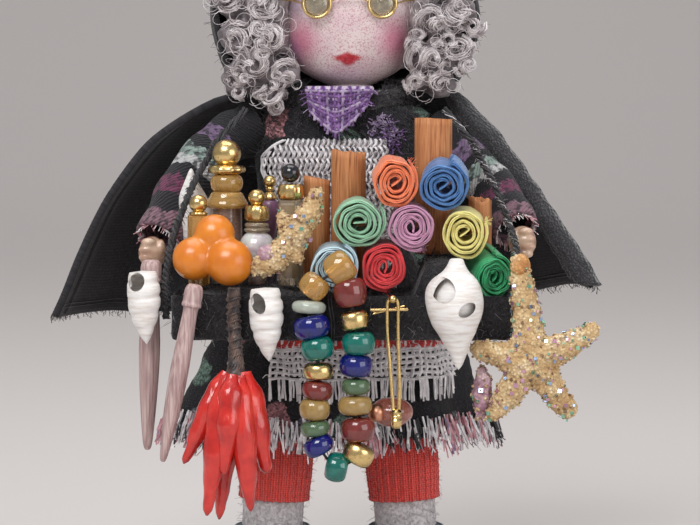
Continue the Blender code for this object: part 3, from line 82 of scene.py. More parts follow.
def between(stations, height):
    """Reads a row of sizes off a list of stations sorted by height."""
    if height <= stations[0][0]:
        return stations[0][1:]
    for low, high in zip(stations, stations[1:]):
        if height <= high[0]:
            share = (height - low[0]) / (high[0] - low[0])
            share = smooth(share) * 0.5 + share * 0.5
            return tuple(a + (b - a) * share for a, b in zip(low[1:], high[1:]))
    return stations[-1][1:]


def rounded_route(points, per_leg):
    """Reads a smooth curve through given points."""
    places = [Vector(point) for point in points]
    padded = [places[0] * 2 - places[1]] + places + [places[-1] * 2 - places[-2]]
    route = []
    for a, b, c, d in zip(padded, padded[1:], padded[2:], padded[3:]):
        for step in range(per_leg):
            t = step / per_leg
            route.append(0.5 * ((2 * b) + (c - a) * t + (2 * a - 5 * b + 4 * c - d) * t * t
                                + (3 * b - a - 3 * c + d) * t ** 3))
    route.append(places[-1])
    return route


FINISHES = {}


class Finish:
    """A Principled material whose patterns are read in millimetres."""

    def __init__(self, name, colour, roughness=0.5, uv=False, middle=(0, 0, 0), **sockets):
        self.material = FINISHES[name] = bpy.data.materials.new(name)
        self.material.use_nodes = True
        self.tree = self.material.node_tree
        self.shader = self.tree.nodes["Principled BSDF"]
        for socket, value in {"Base_Color": colour, "Roughness": roughness, **sockets}.items():
            self.feed(self.shader.inputs[socket.replace("_", " ")], value)
        source = self.node("TexCoord").outputs["UV" if uv else "Object"]
        scale = 1 if uv else 1 / MM
        self.place = self.stretched((scale, scale, scale), middle, source)
        self.normal = None

    def node(self, kind, **settings):
        made = self.tree.nodes.new("ShaderNode" + kind)
        for name, value in settings.items():
            setattr(made, name, value)
        return made

    def join(self, output, socket):
        self.tree.links.new(output, socket)

    def feed(self, socket, value):
        """Links a socket to another one, or gives it a number or a colour."""
        if isinstance(value, bpy.types.NodeSocket):
            self.join(value, socket)
        elif isinstance(value, tuple) and len(value) == 3 and socket.type == "RGBA":
            socket.default_value = (*value, 1)
        else:
            socket.default_value = value

    def read(self, made, output, place, **inputs):
        """A node's output, read at a place."""
        for socket, value in inputs.items():
            made.inputs[socket].default_value = value
        self.join(place or self.place, made.inputs["Vector"])
        return made.outputs[output]

    def stretched(self, scale, place=(0, 0, 0), source=None):
        """The pattern's place, stretched and moved."""
        return self.read(self.node("Mapping"), "Vector", source, Scale=scale, Location=place)

    def noise(self, scale, detail=2, place=None, distortion=0, output="Fac"):
        return self.read(self.node("TexNoise"), output, place, Scale=scale, Detail=detail,
                         Distortion=distortion)

    def cells(self, scale, output="Distance", place=None):
        return self.read(self.node("TexVoronoi"), output, place, Scale=scale, Randomness=1)

    def bands(self, scale, direction="X", distortion=0):
        made = self.node("TexWave", wave_type="BANDS", bands_direction=direction)
        return self.read(made, "Fac", None, Scale=scale, Distortion=distortion, Detail=1)

    def axis(self, name, place):
        return self.read(self.node("SeparateXYZ"), name, place)

    def moved(self, amount, scale):
        """The pattern's place, shaken by noise, for ragged borders."""
        centred = self.node("VectorMath", operation="MULTIPLY_ADD")
        shake = self.noise(scale, output="Color")
        for socket, value in zip(centred.inputs, (shake, (amount,) * 3, self.place)):
            self.feed(socket, value)
        return centred.outputs["Vector"]

    def sums(self, operation, a, b=0.5):
        made = self.node("Math", operation=operation)
        self.feed(made.inputs[0], a)
        self.feed(made.inputs[1], b)
        return made.outputs["Value"]

    def ramp(self, value, *stops, steps=False):
        """Colours or greys at places along a value from 0 to 1."""
        made = self.node("ValToRGB")
        made.color_ramp.interpolation = "CONSTANT" if steps else "LINEAR"
        elements = made.color_ramp.elements
        while len(elements) < len(stops):
            elements.new(1)
        for element, (position, colour) in zip(elements, stops):
            element.position = position
            element.color = (*(colour if isinstance(colour, tuple) else (colour,) * 3), 1)
        self.feed(made.inputs["Fac"], value)
        return made.outputs["Color"]

    def mixed(self, share, a, b):
        made = self.node("Mix", data_type="RGBA")
        for socket, value in ((made.inputs["Factor"], share), (made.inputs[6], a),
                              (made.inputs[7], b)):
            self.feed(socket, value)
        return made.outputs[2]

    def turned(self, value, low, high, a, b, most=1):
        """Colour a where a value is under low, and colour b where it is over high."""
        return self.mixed(self.ramp(value, (low, 0), (high, most)), a, b)

    def paint(self, colour):
        self.feed(self.shader.inputs["Base Color"], colour)
        return self

    def rough(self, value, *stops):
        self.feed(self.shader.inputs["Roughness"], self.ramp(value, *stops))

    def bump(self, height, depth, strength=1):
        """Relief so many millimetres deep, on top of what is there already."""
        made = self.node("Bump")
        made.inputs["Distance"].default_value = depth * MM
        made.inputs["Strength"].default_value = strength
        self.feed(made.inputs["Height"], height)
        if self.normal is not None:
            self.join(self.normal, made.inputs["Normal"])
        self.normal = made.outputs["Normal"]
        self.feed(self.shader.inputs["Normal"], self.normal)
        return self


def sheen(weight, roughness=0.5, tint=(1, 1, 1)):
    return {"Sheen_Weight": weight, "Sheen_Roughness": roughness, "Sheen_Tint": (*tint, 1)}


def coat(weight, roughness):
    return {"Coat_Weight": weight, "Coat_Roughness": roughness}


def waxy(weight, radius, scale):
    return {"Subsurface_Weight": weight, "Subsurface_Radius": radius,
            "Subsurface_Scale": scale * MM}


def shade(colour, share, more=0):
    return tuple(min(share * part + more, 1) for part in colour)


def black_wool():
    """Thick black cloth with a fine plain weave and a little fluff."""
    cloth = Finish("black_wool", (0.012, 0.011, 0.014), 0.93, uv=True, **sheen(0.12, 0.6))
    weave = cloth.sums("MAXIMUM", cloth.bands(1.15, "X", 0.6), cloth.bands(1.15, "Y", 0.6))
    fluff = cloth.noise(3, 4)
    cloth.paint(cloth.turned(fluff, 0.35, 0.75, (0.0075, 0.007, 0.0095), (0.03, 0.027, 0.032)))
    cloth.bump(weave, 0.05, 0.7).bump(fluff, 0.1, 0.6)


def fibre(name, colour, roughness, other):
    """Loose threads and fluff, each a little lighter or darker."""
    thread = Finish(name, colour, roughness, **sheen(0.2))
    thread.paint(thread.turned(thread.noise(1.3, 1), 0.4, 0.6, colour, other))
    thread.bump(thread.noise(14, 1), 0.02)


PRINT_BLACK = (0.012, 0.011, 0.015)


def cotton_threads(cloth):
    return cloth.sums("MULTIPLY", cloth.bands(1.6, "DIAGONAL", 2), cloth.noise(5, 3))


def printed_cotton():
    """Black fluffy cotton printed with ragged lilac, white, mint and pink blooms."""
    cloth = Finish("printed_cotton", (0.02, 0.018, 0.022), 0.95, **sheen(0.08, 0.5))
    ragged = cloth.moved(1.3, 0.9)
    hues = cloth.ramp(cloth.axis("X", cloth.cells(0.3, "Color", ragged)), (0, PRINT_BLACK),
                      (0.5, (0.24, 0.19, 0.27)), (0.62, PRINT_BLACK), (0.7, (0.42, 0.4, 0.42)),
                      (0.77, (0.16, 0.26, 0.21)), (0.85, PRINT_BLACK),
                      (0.9, (0.5, 0.22, 0.24)), (0.95, (0.09, 0.035, 0.08)), steps=True)
    base = cloth.turned(cloth.cells(0.3, place=ragged), 0.42, 0.5, hues, (0.009, 0.008, 0.011))
    shaded = cloth.turned(cloth.noise(4, 3), 0.4, 0.6, base, (0.01, 0.009, 0.012), 0.75)
    # Pale specks over the print are painted highlights glinting on the weave.
    cloth.paint(cloth.turned(cloth.noise(6), 0.62, 0.68, shaded,
                             cloth.mixed(0.14, base, (0.3, 0.28, 0.3))))
    cloth.bump(cotton_threads(cloth), 0.12, 0.9).bump(cloth.noise(2.2, 4), 0.25, 0.8)


def banded_cotton():
    """Black fluffy cotton with ragged mint, white and plum bands round the sleeve."""
    cloth = Finish("banded_cotton", (0.02, 0.018, 0.022), 0.95, uv=True, **sheen(0.08, 0.5))
    share = cloth.sums("DIVIDE", cloth.axis("Y", cloth.moved(1.4, 1.1)), 15)
    hues = cloth.ramp(share, (0, PRINT_BLACK), (0.36, (0.17, 0.11, 0.2)), (0.47, PRINT_BLACK),
                      (0.55, (0.24, 0.31, 0.28)), (0.63, (0.44, 0.44, 0.44)),
                      (0.68, PRINT_BLACK), (0.76, (0.13, 0.03, 0.07)), (0.86, PRINT_BLACK),
                      (0.96, (0.2, 0.11, 0.14)), steps=True)
    cloth.paint(cloth.turned(cloth.noise(1.6, 4), 0.47, 0.6, hues, PRINT_BLACK, 0.85))
    cloth.bump(cotton_threads(cloth), 0.14, 0.9).bump(cloth.noise(2, 4), 0.2, 0.8)


def tray_felt():
    """Dark, fibrous cloth, matted and dusty."""
    cloth = Finish("tray_felt", (0.014, 0.012, 0.014), 0.95, **sheen(0.2, 0.5))
    matted = cloth.noise(2.6, 6, distortion=1.5)
    cloth.paint(cloth.turned(matted, 0.46, 0.8, (0.006, 0.005, 0.007), (0.04, 0.036, 0.042)))
    cloth.bump(matted, 0.22).bump(cloth.noise(9, 3), 0.08, 0.8)


def silver_hair(name, light, dark):
    hair = Finish(name, light, 0.36, Specular_IOR_Level=0.6, **sheen(0.25, 0.3))
    hair.paint(hair.turned(hair.noise(0.9, 3), 0.38, 0.66, light, dark))
    hair.bump(hair.noise(12), 0.02, 0.6)


def face_paint():
    """Pale painted face: fine red stipple, pink cheeks, small red lips, purple painted shade on
    its left.
    """
    face = Finish("face_paint", (0.62, 0.52, 0.52), 0.42, Specular_IOR_Level=0.45,
                  middle=tuple(-v / MM for v in at(HEAD_X, 0, EYE_Z)), **coat(0.12, 0.35))
    pale = face.turned(face.noise(0.35), 0.3, 0.7, (0.66, 0.52, 0.54), (0.78, 0.68, 0.67))

    def spot(x, z, wide, high, soft, shake, most=1):
        """Most inside a soft oval on the face's front, and zero outside."""
        made = face.stretched((1 / wide, 0, 1 / high), (-x / wide, 0, -z / high))
        length = face.node("VectorMath", operation="LENGTH")
        face.join(made, length.inputs[0])
        grain = face.sums("MULTIPLY", face.sums("SUBTRACT", face.noise(5, 3)), shake)
        oval = face.ramp(face.sums("ADD", length.outputs["Value"], grain), (soft, 1), (1, 0))
        return oval if most == 1 else face.sums("MULTIPLY", oval, most)

    cheeks = face.sums("MAXIMUM", spot(-4.75, -3.5, 2.5, 2.7, 0.25, 0.7),
                       spot(4.35, -3.3, 2.2, 2.7, 0.25, 0.7))
    face_tone = face.mixed(face.sums("MULTIPLY", cheeks, 0.85), pale, (0.56, 0.17, 0.27))
    # Purple painted shade on the face's left side, low by the jaw and up by the eye.
    face_tone = face.mixed(spot(-5.9, -4.8, 1.7, 2.2, 0.1, 0.6, 0.75), face_tone, (0.36, 0.16, 0.42))
    face_tone = face.mixed(spot(-4.9, 0.8, 2.2, 2.6, 0.2, 0.6, 0.6), face_tone, (0.26, 0.2, 0.36))
    stippled = face.turned(face.noise(6.5, 3), 0.5, 0.62, face_tone, (0.42, 0.13, 0.19), 0.62)
    lips = face.sums("MAXIMUM", spot(-0.17, -5.02, 1.55, 0.46, 0.6, 0.5),
                     spot(-0.15, -5.1, 0.95, 0.74, 0.6, 0.5))
    mouth = face.turned(face.noise(3), 0.4, 0.7, (0.38, 0.018, 0.03), (0.56, 0.07, 0.09))
    face.paint(face.mixed(lips, stippled, mouth))
    face.bump(face.noise(9), 0.012, 0.5)


def glass(name, colour, roughness, clear=0.6, cloud=0.35):
    """Coloured glass with a little cloudiness and fine pits."""
    bead = Finish(name, colour, roughness, Transmission_Weight=clear, IOR=1.5,
                  **coat(0.5, 0.04))
    bead.paint(bead.turned(bead.noise(1.2, 3), 0.35, 0.7, colour, shade(colour, 1 - cloud)))
    bead.bump(bead.noise(3, 3), 0.02, 0.5)


def gilt(name, colour, roughness):
    metal = Finish(name, colour, roughness, Metallic=1)
    worn = metal.noise(2.4, 4)
    metal.paint(metal.turned(worn, 0.45, 0.75, colour, shade(colour, 0.6)))
    metal.rough(worn, (0.3, roughness), (0.8, roughness + 0.22))
    metal.bump(metal.noise(6), 0.015, 0.5)


def shell_white():
    shell = Finish("shell_white", (0.78, 0.76, 0.74), 0.38, **waxy(0.15, (1, 0.8, 0.6), 0.4))
    lines = shell.noise(1, 4, shell.stretched((0.6, 0.6, 4)))
    shell.paint(shell.turned(lines, 0.42, 0.7, (0.82, 0.8, 0.78), (0.66, 0.6, 0.56)))
    shell.bump(lines, 0.05, 0.8).bump(shell.noise(5, 3), 0.03, 0.6)


def crusted(name, pale, middle, dark, tone=0.48, pits=None, most=0.6, depth=0.12):
    """A gritty skin or grain in three tones."""
    star = Finish(name, middle, 0.85, Specular_IOR_Level=0.3)
    grit = star.cells(3.2)
    base = star.ramp(star.noise(0.8, 4), (0.3, dark), (tone, middle), (0.68, pale))
    star.paint(star.turned(grit, 0.1, 0.55, base, pits or shade(dark, 0.7), most))
    star.bump(star.sums("SUBTRACT", 1, grit), depth).bump(star.noise(7, 3), 0.08, 0.9)


def cinnamon_bark():
    """Orange-brown bark with a straight upright grain."""
    bark = Finish("cinnamon_bark", (0.5, 0.22, 0.09), 0.72)
    grain = bark.noise(1, 5, bark.stretched((7, 7, 0.35)))
    broad = bark.noise(1, 3, bark.stretched((2, 2, 0.18)))
    base = bark.ramp(grain, (0.3, (0.19, 0.06, 0.02)), (0.48, (0.44, 0.16, 0.055)),
                     (0.72, (0.6, 0.27, 0.11)))
    bark.paint(bark.turned(broad, 0.4, 0.65, base, (0.54, 0.25, 0.1), 0.55))
    bark.bump(grain, 0.1, 0.9)


def urchin_mauve():
    spine = Finish("urchin_mauve", (0.44, 0.31, 0.31), 0.48)
    grain = spine.noise(1, 4, spine.stretched((5, 5, 0.25)))
    spine.paint(spine.ramp(grain, (0.3, (0.27, 0.17, 0.17)), (0.5, (0.42, 0.29, 0.28)),
                           (0.7, (0.58, 0.45, 0.42))))
    spine.bump(grain, 0.05, 0.9).bump(spine.noise(8), 0.03, 0.6)


def pepper_skin():
    pepper = Finish("pepper_skin", (0.6, 0.03, 0.02), 0.22, **coat(0.6, 0.12),
                    **waxy(0.1, (1, 0.3, 0.2), 0.4))
    pepper.paint(pepper.ramp(pepper.noise(0.45, 3), (0.35, (0.42, 0.01, 0.008)),
                             (0.55, (0.6, 0.022, 0.014)), (0.75, (0.66, 0.05, 0.03))))
    pepper.bump(pepper.noise(1, 2, pepper.stretched((2.6, 2.6, 0.7))), 0.16, 0.7)


def red_knit():
    """Ribbed knitting whose stitches run along the piece's own UV map."""
    colour, dark, pitch = (0.88, 0.075, 0.055), (0.52, 0.026, 0.022), 0.42
    wool = Finish("red_knit", colour, 0.9, uv=True, **sheen(0.35, 0.5, (1, 0.8, 0.8)))
    ribs = wool.bands(0.5 / pitch, "X", 0.3)
    rows = wool.bands(0.5 / (pitch * 0.8), "Y", 0.8)
    both = wool.sums("ADD", wool.sums("MULTIPLY", ribs, 0.6), wool.sums("MULTIPLY", rows, 0.4))
    fluff = wool.noise(4, 3)
    raised = wool.turned(fluff, 0.4, 0.7, colour, shade(colour, 1.5), 0.5)
    # The dark colour in the grooves between ribs and rows is painted shade.
    wool.paint(wool.mixed(wool.ramp(both, (0.15, 1), (0.6, 0)), raised, dark))
    wool.bump(both, 0.16).bump(fluff, 0.08, 0.8)


def fluffy(name, colour, dark):
    wool = Finish(name, colour, 0.95, **sheen(0.4, 0.5))
    fluff = wool.noise(2.4, 5, distortion=0.8)
    wool.paint(wool.mixed(wool.ramp(fluff, (0.35, 1), (0.65, 0)), colour, dark))
    wool.bump(fluff, 0.2).bump(wool.noise(9), 0.06, 0.8)


def boot_leather():
    hide = Finish("boot_leather", (0.1, 0.16, 0.2), 0.5, Specular_IOR_Level=0.4)
    creases = hide.cells(1.6, place=hide.moved(0.8, 0.8))
    worn = hide.noise(0.7, 4)
    hide.paint(hide.turned(worn, 0.4, 0.75, (0.085, 0.14, 0.18), (0.22, 0.28, 0.31)))
    hide.rough(worn, (0.3, 0.42), (0.8, 0.7))
    hide.bump(creases, 0.08, 0.6).bump(hide.noise(9), 0.03, 0.6)


def glossy_skin():
    skin = Finish("glossy_skin", (0.52, 0.32, 0.22), 0.24, **coat(0.4, 0.15))
    skin.paint(skin.ramp(skin.noise(0.8, 3), (0.3, (0.38, 0.21, 0.14)),
                         (0.6, (0.58, 0.4, 0.29)), (0.8, (0.66, 0.5, 0.38))))
    skin.bump(skin.noise(3), 0.03, 0.5)


def orange_resin():
    fruit = Finish("orange_resin", (0.8, 0.27, 0.025), 0.34, **coat(0.35, 0.2),
                   **waxy(0.25, (1, 0.45, 0.1), 0.9))
    fruit.paint(fruit.ramp(fruit.noise(0.5), (0.3, (0.6, 0.165, 0.01)),
                           (0.7, (0.72, 0.235, 0.016))))
    fruit.bump(fruit.noise(4), 0.012, 0.5)


def pearl():
    """A glossy, cloudy bead with a faint play of pink and green."""
    bead = Finish("pearl", (0.72, 0.7, 0.72), 0.16, Specular_IOR_Level=0.7, **coat(0.8, 0.05))
    bead.paint(bead.ramp(bead.noise(0.7, distortion=0.8), (0.3, (0.5, 0.44, 0.52)),
                         (0.5, (0.74, 0.72, 0.72)), (0.7, (0.6, 0.66, 0.64))))
    bead.bump(bead.noise(2), 0.01, 0.4)


def purple_check():
    """Purple and white check whose threads run along the piece's own UV map."""
    cloth = Finish("purple_check", (0.3, 0.16, 0.4), 0.85, uv=True, **sheen(0.25, 0.5))
    both = cloth.sums("MULTIPLY", cloth.bands(0.38, "X", 0.8), cloth.bands(0.42, "Y", 0.8))
    tone = cloth.ramp(both, (0.05, (0.1, 0.035, 0.17)), (0.3, (0.3, 0.15, 0.42)),
                      (0.62, (0.62, 0.56, 0.66)))
    cloth.paint(cloth.turned(cloth.noise(3, 3), 0.45, 0.7, tone, (0.1, 0.05, 0.14), 0.5))
    cloth.bump(cloth.bands(1.6, "DIAGONAL", 1), 0.08, 0.9)


def speckled_wool():
    """The cape's lit front edge: black wool with pale flecks, painted dark grey as the light it
    catches.
    """
    cloth = Finish("speckled_wool", (0.05, 0.047, 0.052), 0.95, **sheen(0.3, 0.5))
    cloth.paint(cloth.turned(cloth.noise(7, 3), 0.52, 0.72, (0.014, 0.013, 0.016),
                             (0.085, 0.08, 0.087)))
    cloth.bump(cloth.cells(3.4), 0.14, 0.9)


def eye_grey():
    """Blue-grey glass eye with a pale speckled ring."""
    eye = Finish("eye_grey", (0.3, 0.34, 0.37), 0.12, **coat(0.6, 0.05))
    eye.paint(eye.ramp(eye.noise(1.6, 4), (0.34, (0.035, 0.055, 0.075)),
                       (0.5, (0.12, 0.16, 0.19)), (0.68, (0.36, 0.37, 0.36))))
    eye.bump(eye.noise(5), 0.01, 0.4)


def satin(name, colour):
    """Ribbon of fine shining threads that run round the roll."""
    ribbon = Finish(name, colour, 0.4, uv=True, **sheen(0.3, 0.35))
    threads = ribbon.noise(1, 3, ribbon.stretched((0.22, 11, 1)))
    sheen_streaks = ribbon.noise(1, 2, ribbon.stretched((0.8, 3, 1), (7, 2, 0)))
    light = shade(colour, 1.5, 0.06)
    # Painted shade in the low gaps between threads and painted highlight on their crests.
    base = ribbon.ramp(threads, (0.32, shade(colour, 0.45)), (0.48, colour), (0.68, light))
    # The lighter streaks along the ribbon are painted sheen.
    ribbon.paint(ribbon.turned(sheen_streaks, 0.55, 0.75, base, light, 0.55))
    ribbon.bump(threads, 0.07).bump(sheen_streaks, 0.06, 0.6)


def glitter(name, colour):
    """Small mirror-like flakes."""
    flake = Finish(name, colour, 0.18, Metallic=0.85)
    flake.paint(flake.mixed(flake.noise(4, 1), colour, shade(colour, 0.5)))
    flake.bump(flake.noise(3, 1), 0.01, 0.3)


for make in (black_wool, speckled_wool, purple_check, printed_cotton, banded_cotton, tray_felt,
             face_paint, eye_grey, shell_white, cinnamon_bark, urchin_mauve, pepper_skin,
             red_knit, boot_leather, glossy_skin, orange_resin, pearl):
    make()
for make, finishes in (
        (fibre, {
            "wool_fibre": ((0.03, 0.028, 0.033), 0.8, (0.01, 0.009, 0.012)),
            "pale_fibre": ((0.3, 0.28, 0.29), 0.8, (0.12, 0.11, 0.12)),
            "grey_fibre": ((0.55, 0.52, 0.53), 0.8, (0.28, 0.26, 0.27)),
            "red_fibre": ((0.58, 0.06, 0.06), 0.8, (0.3, 0.02, 0.02)),
            "black_thread": ((0.03, 0.027, 0.032), 0.6, (0.01, 0.009, 0.012)),
            "silver_thread": ((0.55, 0.53, 0.54), 0.4, (0.2, 0.19, 0.2)),
            "white_thread": ((0.88, 0.85, 0.86), 0.7, (0.7, 0.67, 0.69)),
            "white_wool": ((0.84, 0.81, 0.83), 0.6, (0.55, 0.52, 0.54)),
            "red_thread": ((0.72, 0.06, 0.05), 0.6, (0.42, 0.025, 0.024)),
            "pink_thread": ((0.6, 0.32, 0.35), 0.7, (0.42, 0.16, 0.2)),
            "lilac_thread": ((0.38, 0.3, 0.44), 0.6, (0.22, 0.15, 0.28)),
            "violet_thread": ((0.23, 0.11, 0.32), 0.6, (0.12, 0.05, 0.18)),
            "plum_thread": ((0.13, 0.04, 0.2), 0.6, (0.06, 0.02, 0.1)),
            "stem_brown": ((0.1, 0.055, 0.04), 0.35, (0.022, 0.014, 0.014))}),
        (fluffy, {
            "pale_gauze": ((0.42, 0.4, 0.41), (0.22, 0.2, 0.21)),
            "dark_lining": ((0.035, 0.03, 0.036), (0.012, 0.01, 0.013)),
            "grey_fluff": ((0.66, 0.63, 0.64), (0.34, 0.31, 0.32)),
            "boot_dark": ((0.07, 0.1, 0.12), (0.03, 0.05, 0.06))}),
        # The silver hair, and darker copies of it painted as half shade on the cap and as shade
        # behind the locks.
        (silver_hair, {
            "silver_hair": ((0.8, 0.75, 0.76), (0.4, 0.34, 0.35)),
            "hair_mid": ((0.4, 0.35, 0.36), (0.18, 0.15, 0.16)),
            "hair_shade": ((0.22, 0.19, 0.2), (0.08, 0.065, 0.07))}),
        (gilt, {
            "gilt": ((0.78, 0.57, 0.25), 0.17),
            "copper": ((0.7, 0.34, 0.22), 0.28)}),
        (crusted, {
            "dried_star": ((0.9, 0.8, 0.56), (0.8, 0.63, 0.36), (0.54, 0.35, 0.17), 0.5,
                           (0.46, 0.28, 0.13), 0.7, 0.16),
            "star_grain": ((0.92, 0.82, 0.6), (0.8, 0.62, 0.36), (0.54, 0.34, 0.16)),
            "star_grain_dark": ((0.56, 0.38, 0.24), (0.36, 0.22, 0.12), (0.2, 0.1, 0.05)),
            "coral_pink": ((0.8, 0.62, 0.62), (0.6, 0.38, 0.42), (0.38, 0.2, 0.28)),
            "apricot": ((0.86, 0.62, 0.36), (0.78, 0.42, 0.16), (0.5, 0.22, 0.08))}),
        (glitter, {
            "flake_green": ((0.45, 0.85, 0.6),), "flake_pink": ((0.9, 0.5, 0.7),),
            "flake_blue": ((0.45, 0.6, 0.9),)}),
        (satin, {
            "roll_light_blue": ((0.46, 0.62, 0.74),), "roll_red": ((0.62, 0.018, 0.026),),
            "roll_dark_green": ((0.008, 0.29, 0.1),), "roll_pale_green": ((0.25, 0.48, 0.31),),
            "roll_mauve": ((0.52, 0.25, 0.39),), "roll_yellow": ((0.8, 0.68, 0.22),),
            "roll_orange": ((0.88, 0.2, 0.075),), "roll_blue": ((0.05, 0.165, 0.4),)}),
        (glass, {
            "eye_dark": ((0.012, 0.014, 0.02), 0.08, 0),
            "amber_glass": ((0.92, 0.55, 0.16), 0.06, 0.68, 0.12),
            "clear_glass": ((0.9, 0.76, 0.55), 0.04, 0.8, 0.08),
            "smoke_glass": ((0.52, 0.36, 0.3), 0.08, 0.6, 0.35),
            "plum_glass": ((0.24, 0.1, 0.2), 0.42, 0.15),
            "jet": ((0.01, 0.01, 0.014), 0.05, 0, 0.1),
            "pale_jade": ((0.66, 0.72, 0.62), 0.1, 0.45, 0.15),
            "cobalt": ((0.006, 0.012, 0.2), 0.05, 0.25, 0.4),
            "teal_glass": ((0.01, 0.25, 0.2), 0.05, 0.4, 0.4),
            "maroon": ((0.2, 0.03, 0.026), 0.09, 0.1, 0.3),
            "honey": ((0.66, 0.44, 0.15), 0.18, 0.55, 0.25),
            "sage": ((0.13, 0.23, 0.12), 0.12, 0.4, 0.25),
            "rose_glass": ((0.62, 0.22, 0.16), 0.08, 0.6)})):
    for finish, settings in finishes.items():
        make(finish, *settings)


def linked(name, data):
    made = bpy.data.objects.new(name, data)
    bpy.context.scene.collection.objects.link(made)
    return made


def ended(name, form):
    """A form as a mesh."""
    mesh = bpy.data.meshes.new(name)
    form.to_mesh(mesh)
    form.free()
    return mesh


def settled(guide, *others):
    """A guide's mesh with its modifiers or bevel done; the guide is removed."""
    bpy.context.view_layer.update()
    ready = guide.evaluated_get(bpy.context.evaluated_depsgraph_get())
    form = bmesh.new()
    form.from_mesh(bpy.data.meshes.new_from_object(ready))
    for leftover in (guide, *others):
        bpy.data.objects.remove(leftover)
    return form


def piece(name, form, finishes, nodes=(), angle=60):
    """Makes a bmesh a piece of the doll."""
    mesh = ended(name, form)
    made = linked(name, mesh)
    for finish in [finishes] if isinstance(finishes, str) else finishes:
        mesh.materials.append(FINISHES[finish])
    mesh.shade_smooth()
    mesh.set_sharp_from_angle(angle=radians(angle))
    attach(made, "root")
    if nodes:
        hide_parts(*nodes)
    return made


def tidied(form):
    bmesh.ops.remove_doubles(form, verts=form.verts, dist=0.002 * MM)
    return outward(form)


def outward(form):
    bmesh.ops.recalc_face_normals(form, faces=form.faces)
    return form


def capped(form):
    """Closes a form's open ends."""
    bmesh.ops.holes_fill(form, edges=[e for e in form.edges if e.is_boundary], sides=0)
    return outward(form)


def grid(columns, rows, place_of, size):
    """A grid bent by place_of(across, down); its UV map is in millimetres of size."""
    form = bmesh.new()
    bmesh.ops.create_grid(form, x_segments=columns, y_segments=rows, size=1)
    layer = form.loops.layers.uv.new("cloth")
    for face in form.faces:
        for loop in face.loops:
            place = loop.vert.co
            loop[layer].uv = ((0.5 + place.x / 2) * size[0], (0.5 - place.y / 2) * size[1])
    for vertex in form.verts:
        vertex.co = place_of(0.5 + vertex.co.x / 2, 0.5 - vertex.co.y / 2)
    return form


def closed_tube(columns, rows, place, size):
    form = grid(columns, rows, place, size)
    bmesh.ops.remove_doubles(form, verts=form.verts, dist=0.004 * MM)
    return form


def strands_form(name, lines, sides=4):
    """Round threads: each line is (points, radii or one radius), in metres."""
    curve = bpy.data.curves.new(name, "CURVE")
    curve.dimensions = "3D"
    curve.bevel_depth = MM
    curve.bevel_resolution = max(sides - 4, 0) // 2
    section = []
    if sides == 3:
        outline = bpy.data.curves.new("section", "CURVE")
        corners = outline.splines.new("POLY")
        corners.points.add(2)
        corners.use_cyclic_u = True
        for i, corner in enumerate(corners.points):
            corner.co = (cos(tau * i / 3) * MM, sin(tau * i / 3) * MM, 0, 1)
        section = [linked("section", outline)]
        curve.bevel_mode = "OBJECT"
        curve.bevel_object = section[0]
    curve.use_fill_caps = True
    for points, radii in lines:
        spline = curve.splines.new("POLY")
        spline.points.add(len(points) - 1)
        for i, (knot, place) in enumerate(zip(spline.points, points)):
            knot.co = (*place, 1)
            knot.radius = (radii if isinstance(radii, float) else radii[i]) / MM
    return settled(linked(name, curve), *section)


def strands(name, lines, finish, nodes=(), sides=4):
    return piece(name, tidied(strands_form(name, lines, sides)), finish, nodes, 70)


def thick(made, thickness, offset=1):
    wall = made.modifiers.new("thickness", "SOLIDIFY")
    wall.thickness = thickness * MM
    wall.offset = offset
    return made


def drift(a, b=0, c=0):
    """Smooth noise from -1 to 1."""
    return noise.noise(Vector((a, b, c)))


def wobble(place, scale, seed=0):
    """Smooth noise from -1 to 1 at a place in metres, scale in millimetres."""
    return noise.noise(Vector(place) / (scale * MM) + Vector((seed, seed * 1.7, -seed)))


def joined(target, part, matrix=None, finish=0):
    """Adds one form to another, placed by a matrix and with its own finish."""
    for face in part.faces:
        face.material_index = finish
    if matrix is not None:
        bmesh.ops.transform(part, matrix=matrix, verts=part.verts)
    mesh = ended("part", part)
    target.from_mesh(mesh)
    bpy.data.meshes.remove(mesh)
    return target


def spun(profile, steps=32, ring=False):
    """A form turned round Z: (radius, height) pairs in millimetres down its side."""
    form = bmesh.new()
    points = [form.verts.new((max(radius, 0) * MM, 0, height * MM))
              for radius, height in profile]
    for a, b in zip(points, points[1:] + points[:1] if ring else points[1:]):
        form.edges.new((a, b))
    bmesh.ops.spin(form, geom=form.verts[:] + form.edges[:], angle=tau, steps=steps,
                   axis=(0, 0, 1), cent=(0, 0, 0), use_merge=True)
    return tidied(form)


def reshaped(form, change):
    """Scales a turned form's radius by change(angle, height), height in millimetres."""
    for vertex in form.verts:
        vertex.co.xy *= change(atan2(vertex.co.y, vertex.co.x), vertex.co.z / MM)
    return form


def eased(profile, per_leg=4):
    """A profile's smooth curve."""
    route = rounded_route([(radius, height, 0) for radius, height in profile], per_leg)
    return [(place.x, place.y) for place in route]


def ball_profile(radius, middle, count=14):
    """A ball's (radius, height) pairs from its top to its foot."""
    angles = [pi * i / count for i in range(count + 1)]
    return [(radius * sin(a), middle + radius * cos(a)) for a in angles]


def ring_profile(outer, inner, middle, half, count=12, fullness=0.55):
    """A bead's closed outline round its hole."""
    angles = [pi * (i / count - 0.5) for i in range(count + 1)]
    return [(inner + (outer - inner) * max(cos(a), 0) ** fullness, middle + half * sin(a))
            for a in angles]


def along(place, way):
    """The matrix that stands a turned form at a place, along a direction."""
    return Matrix.Translation(place) @ Vector(way).to_track_quat("Z", "Y").to_matrix().to_4x4()


def ball(radii, place, segments=24, rings=16):
    form = bmesh.new()
    bmesh.ops.create_uvsphere(form, u_segments=segments, v_segments=rings, radius=1)
    for vertex in form.verts:
        vertex.co = Vector(place) + Vector([vertex.co[i] * radii[i] * MM for i in range(3)])
    return form


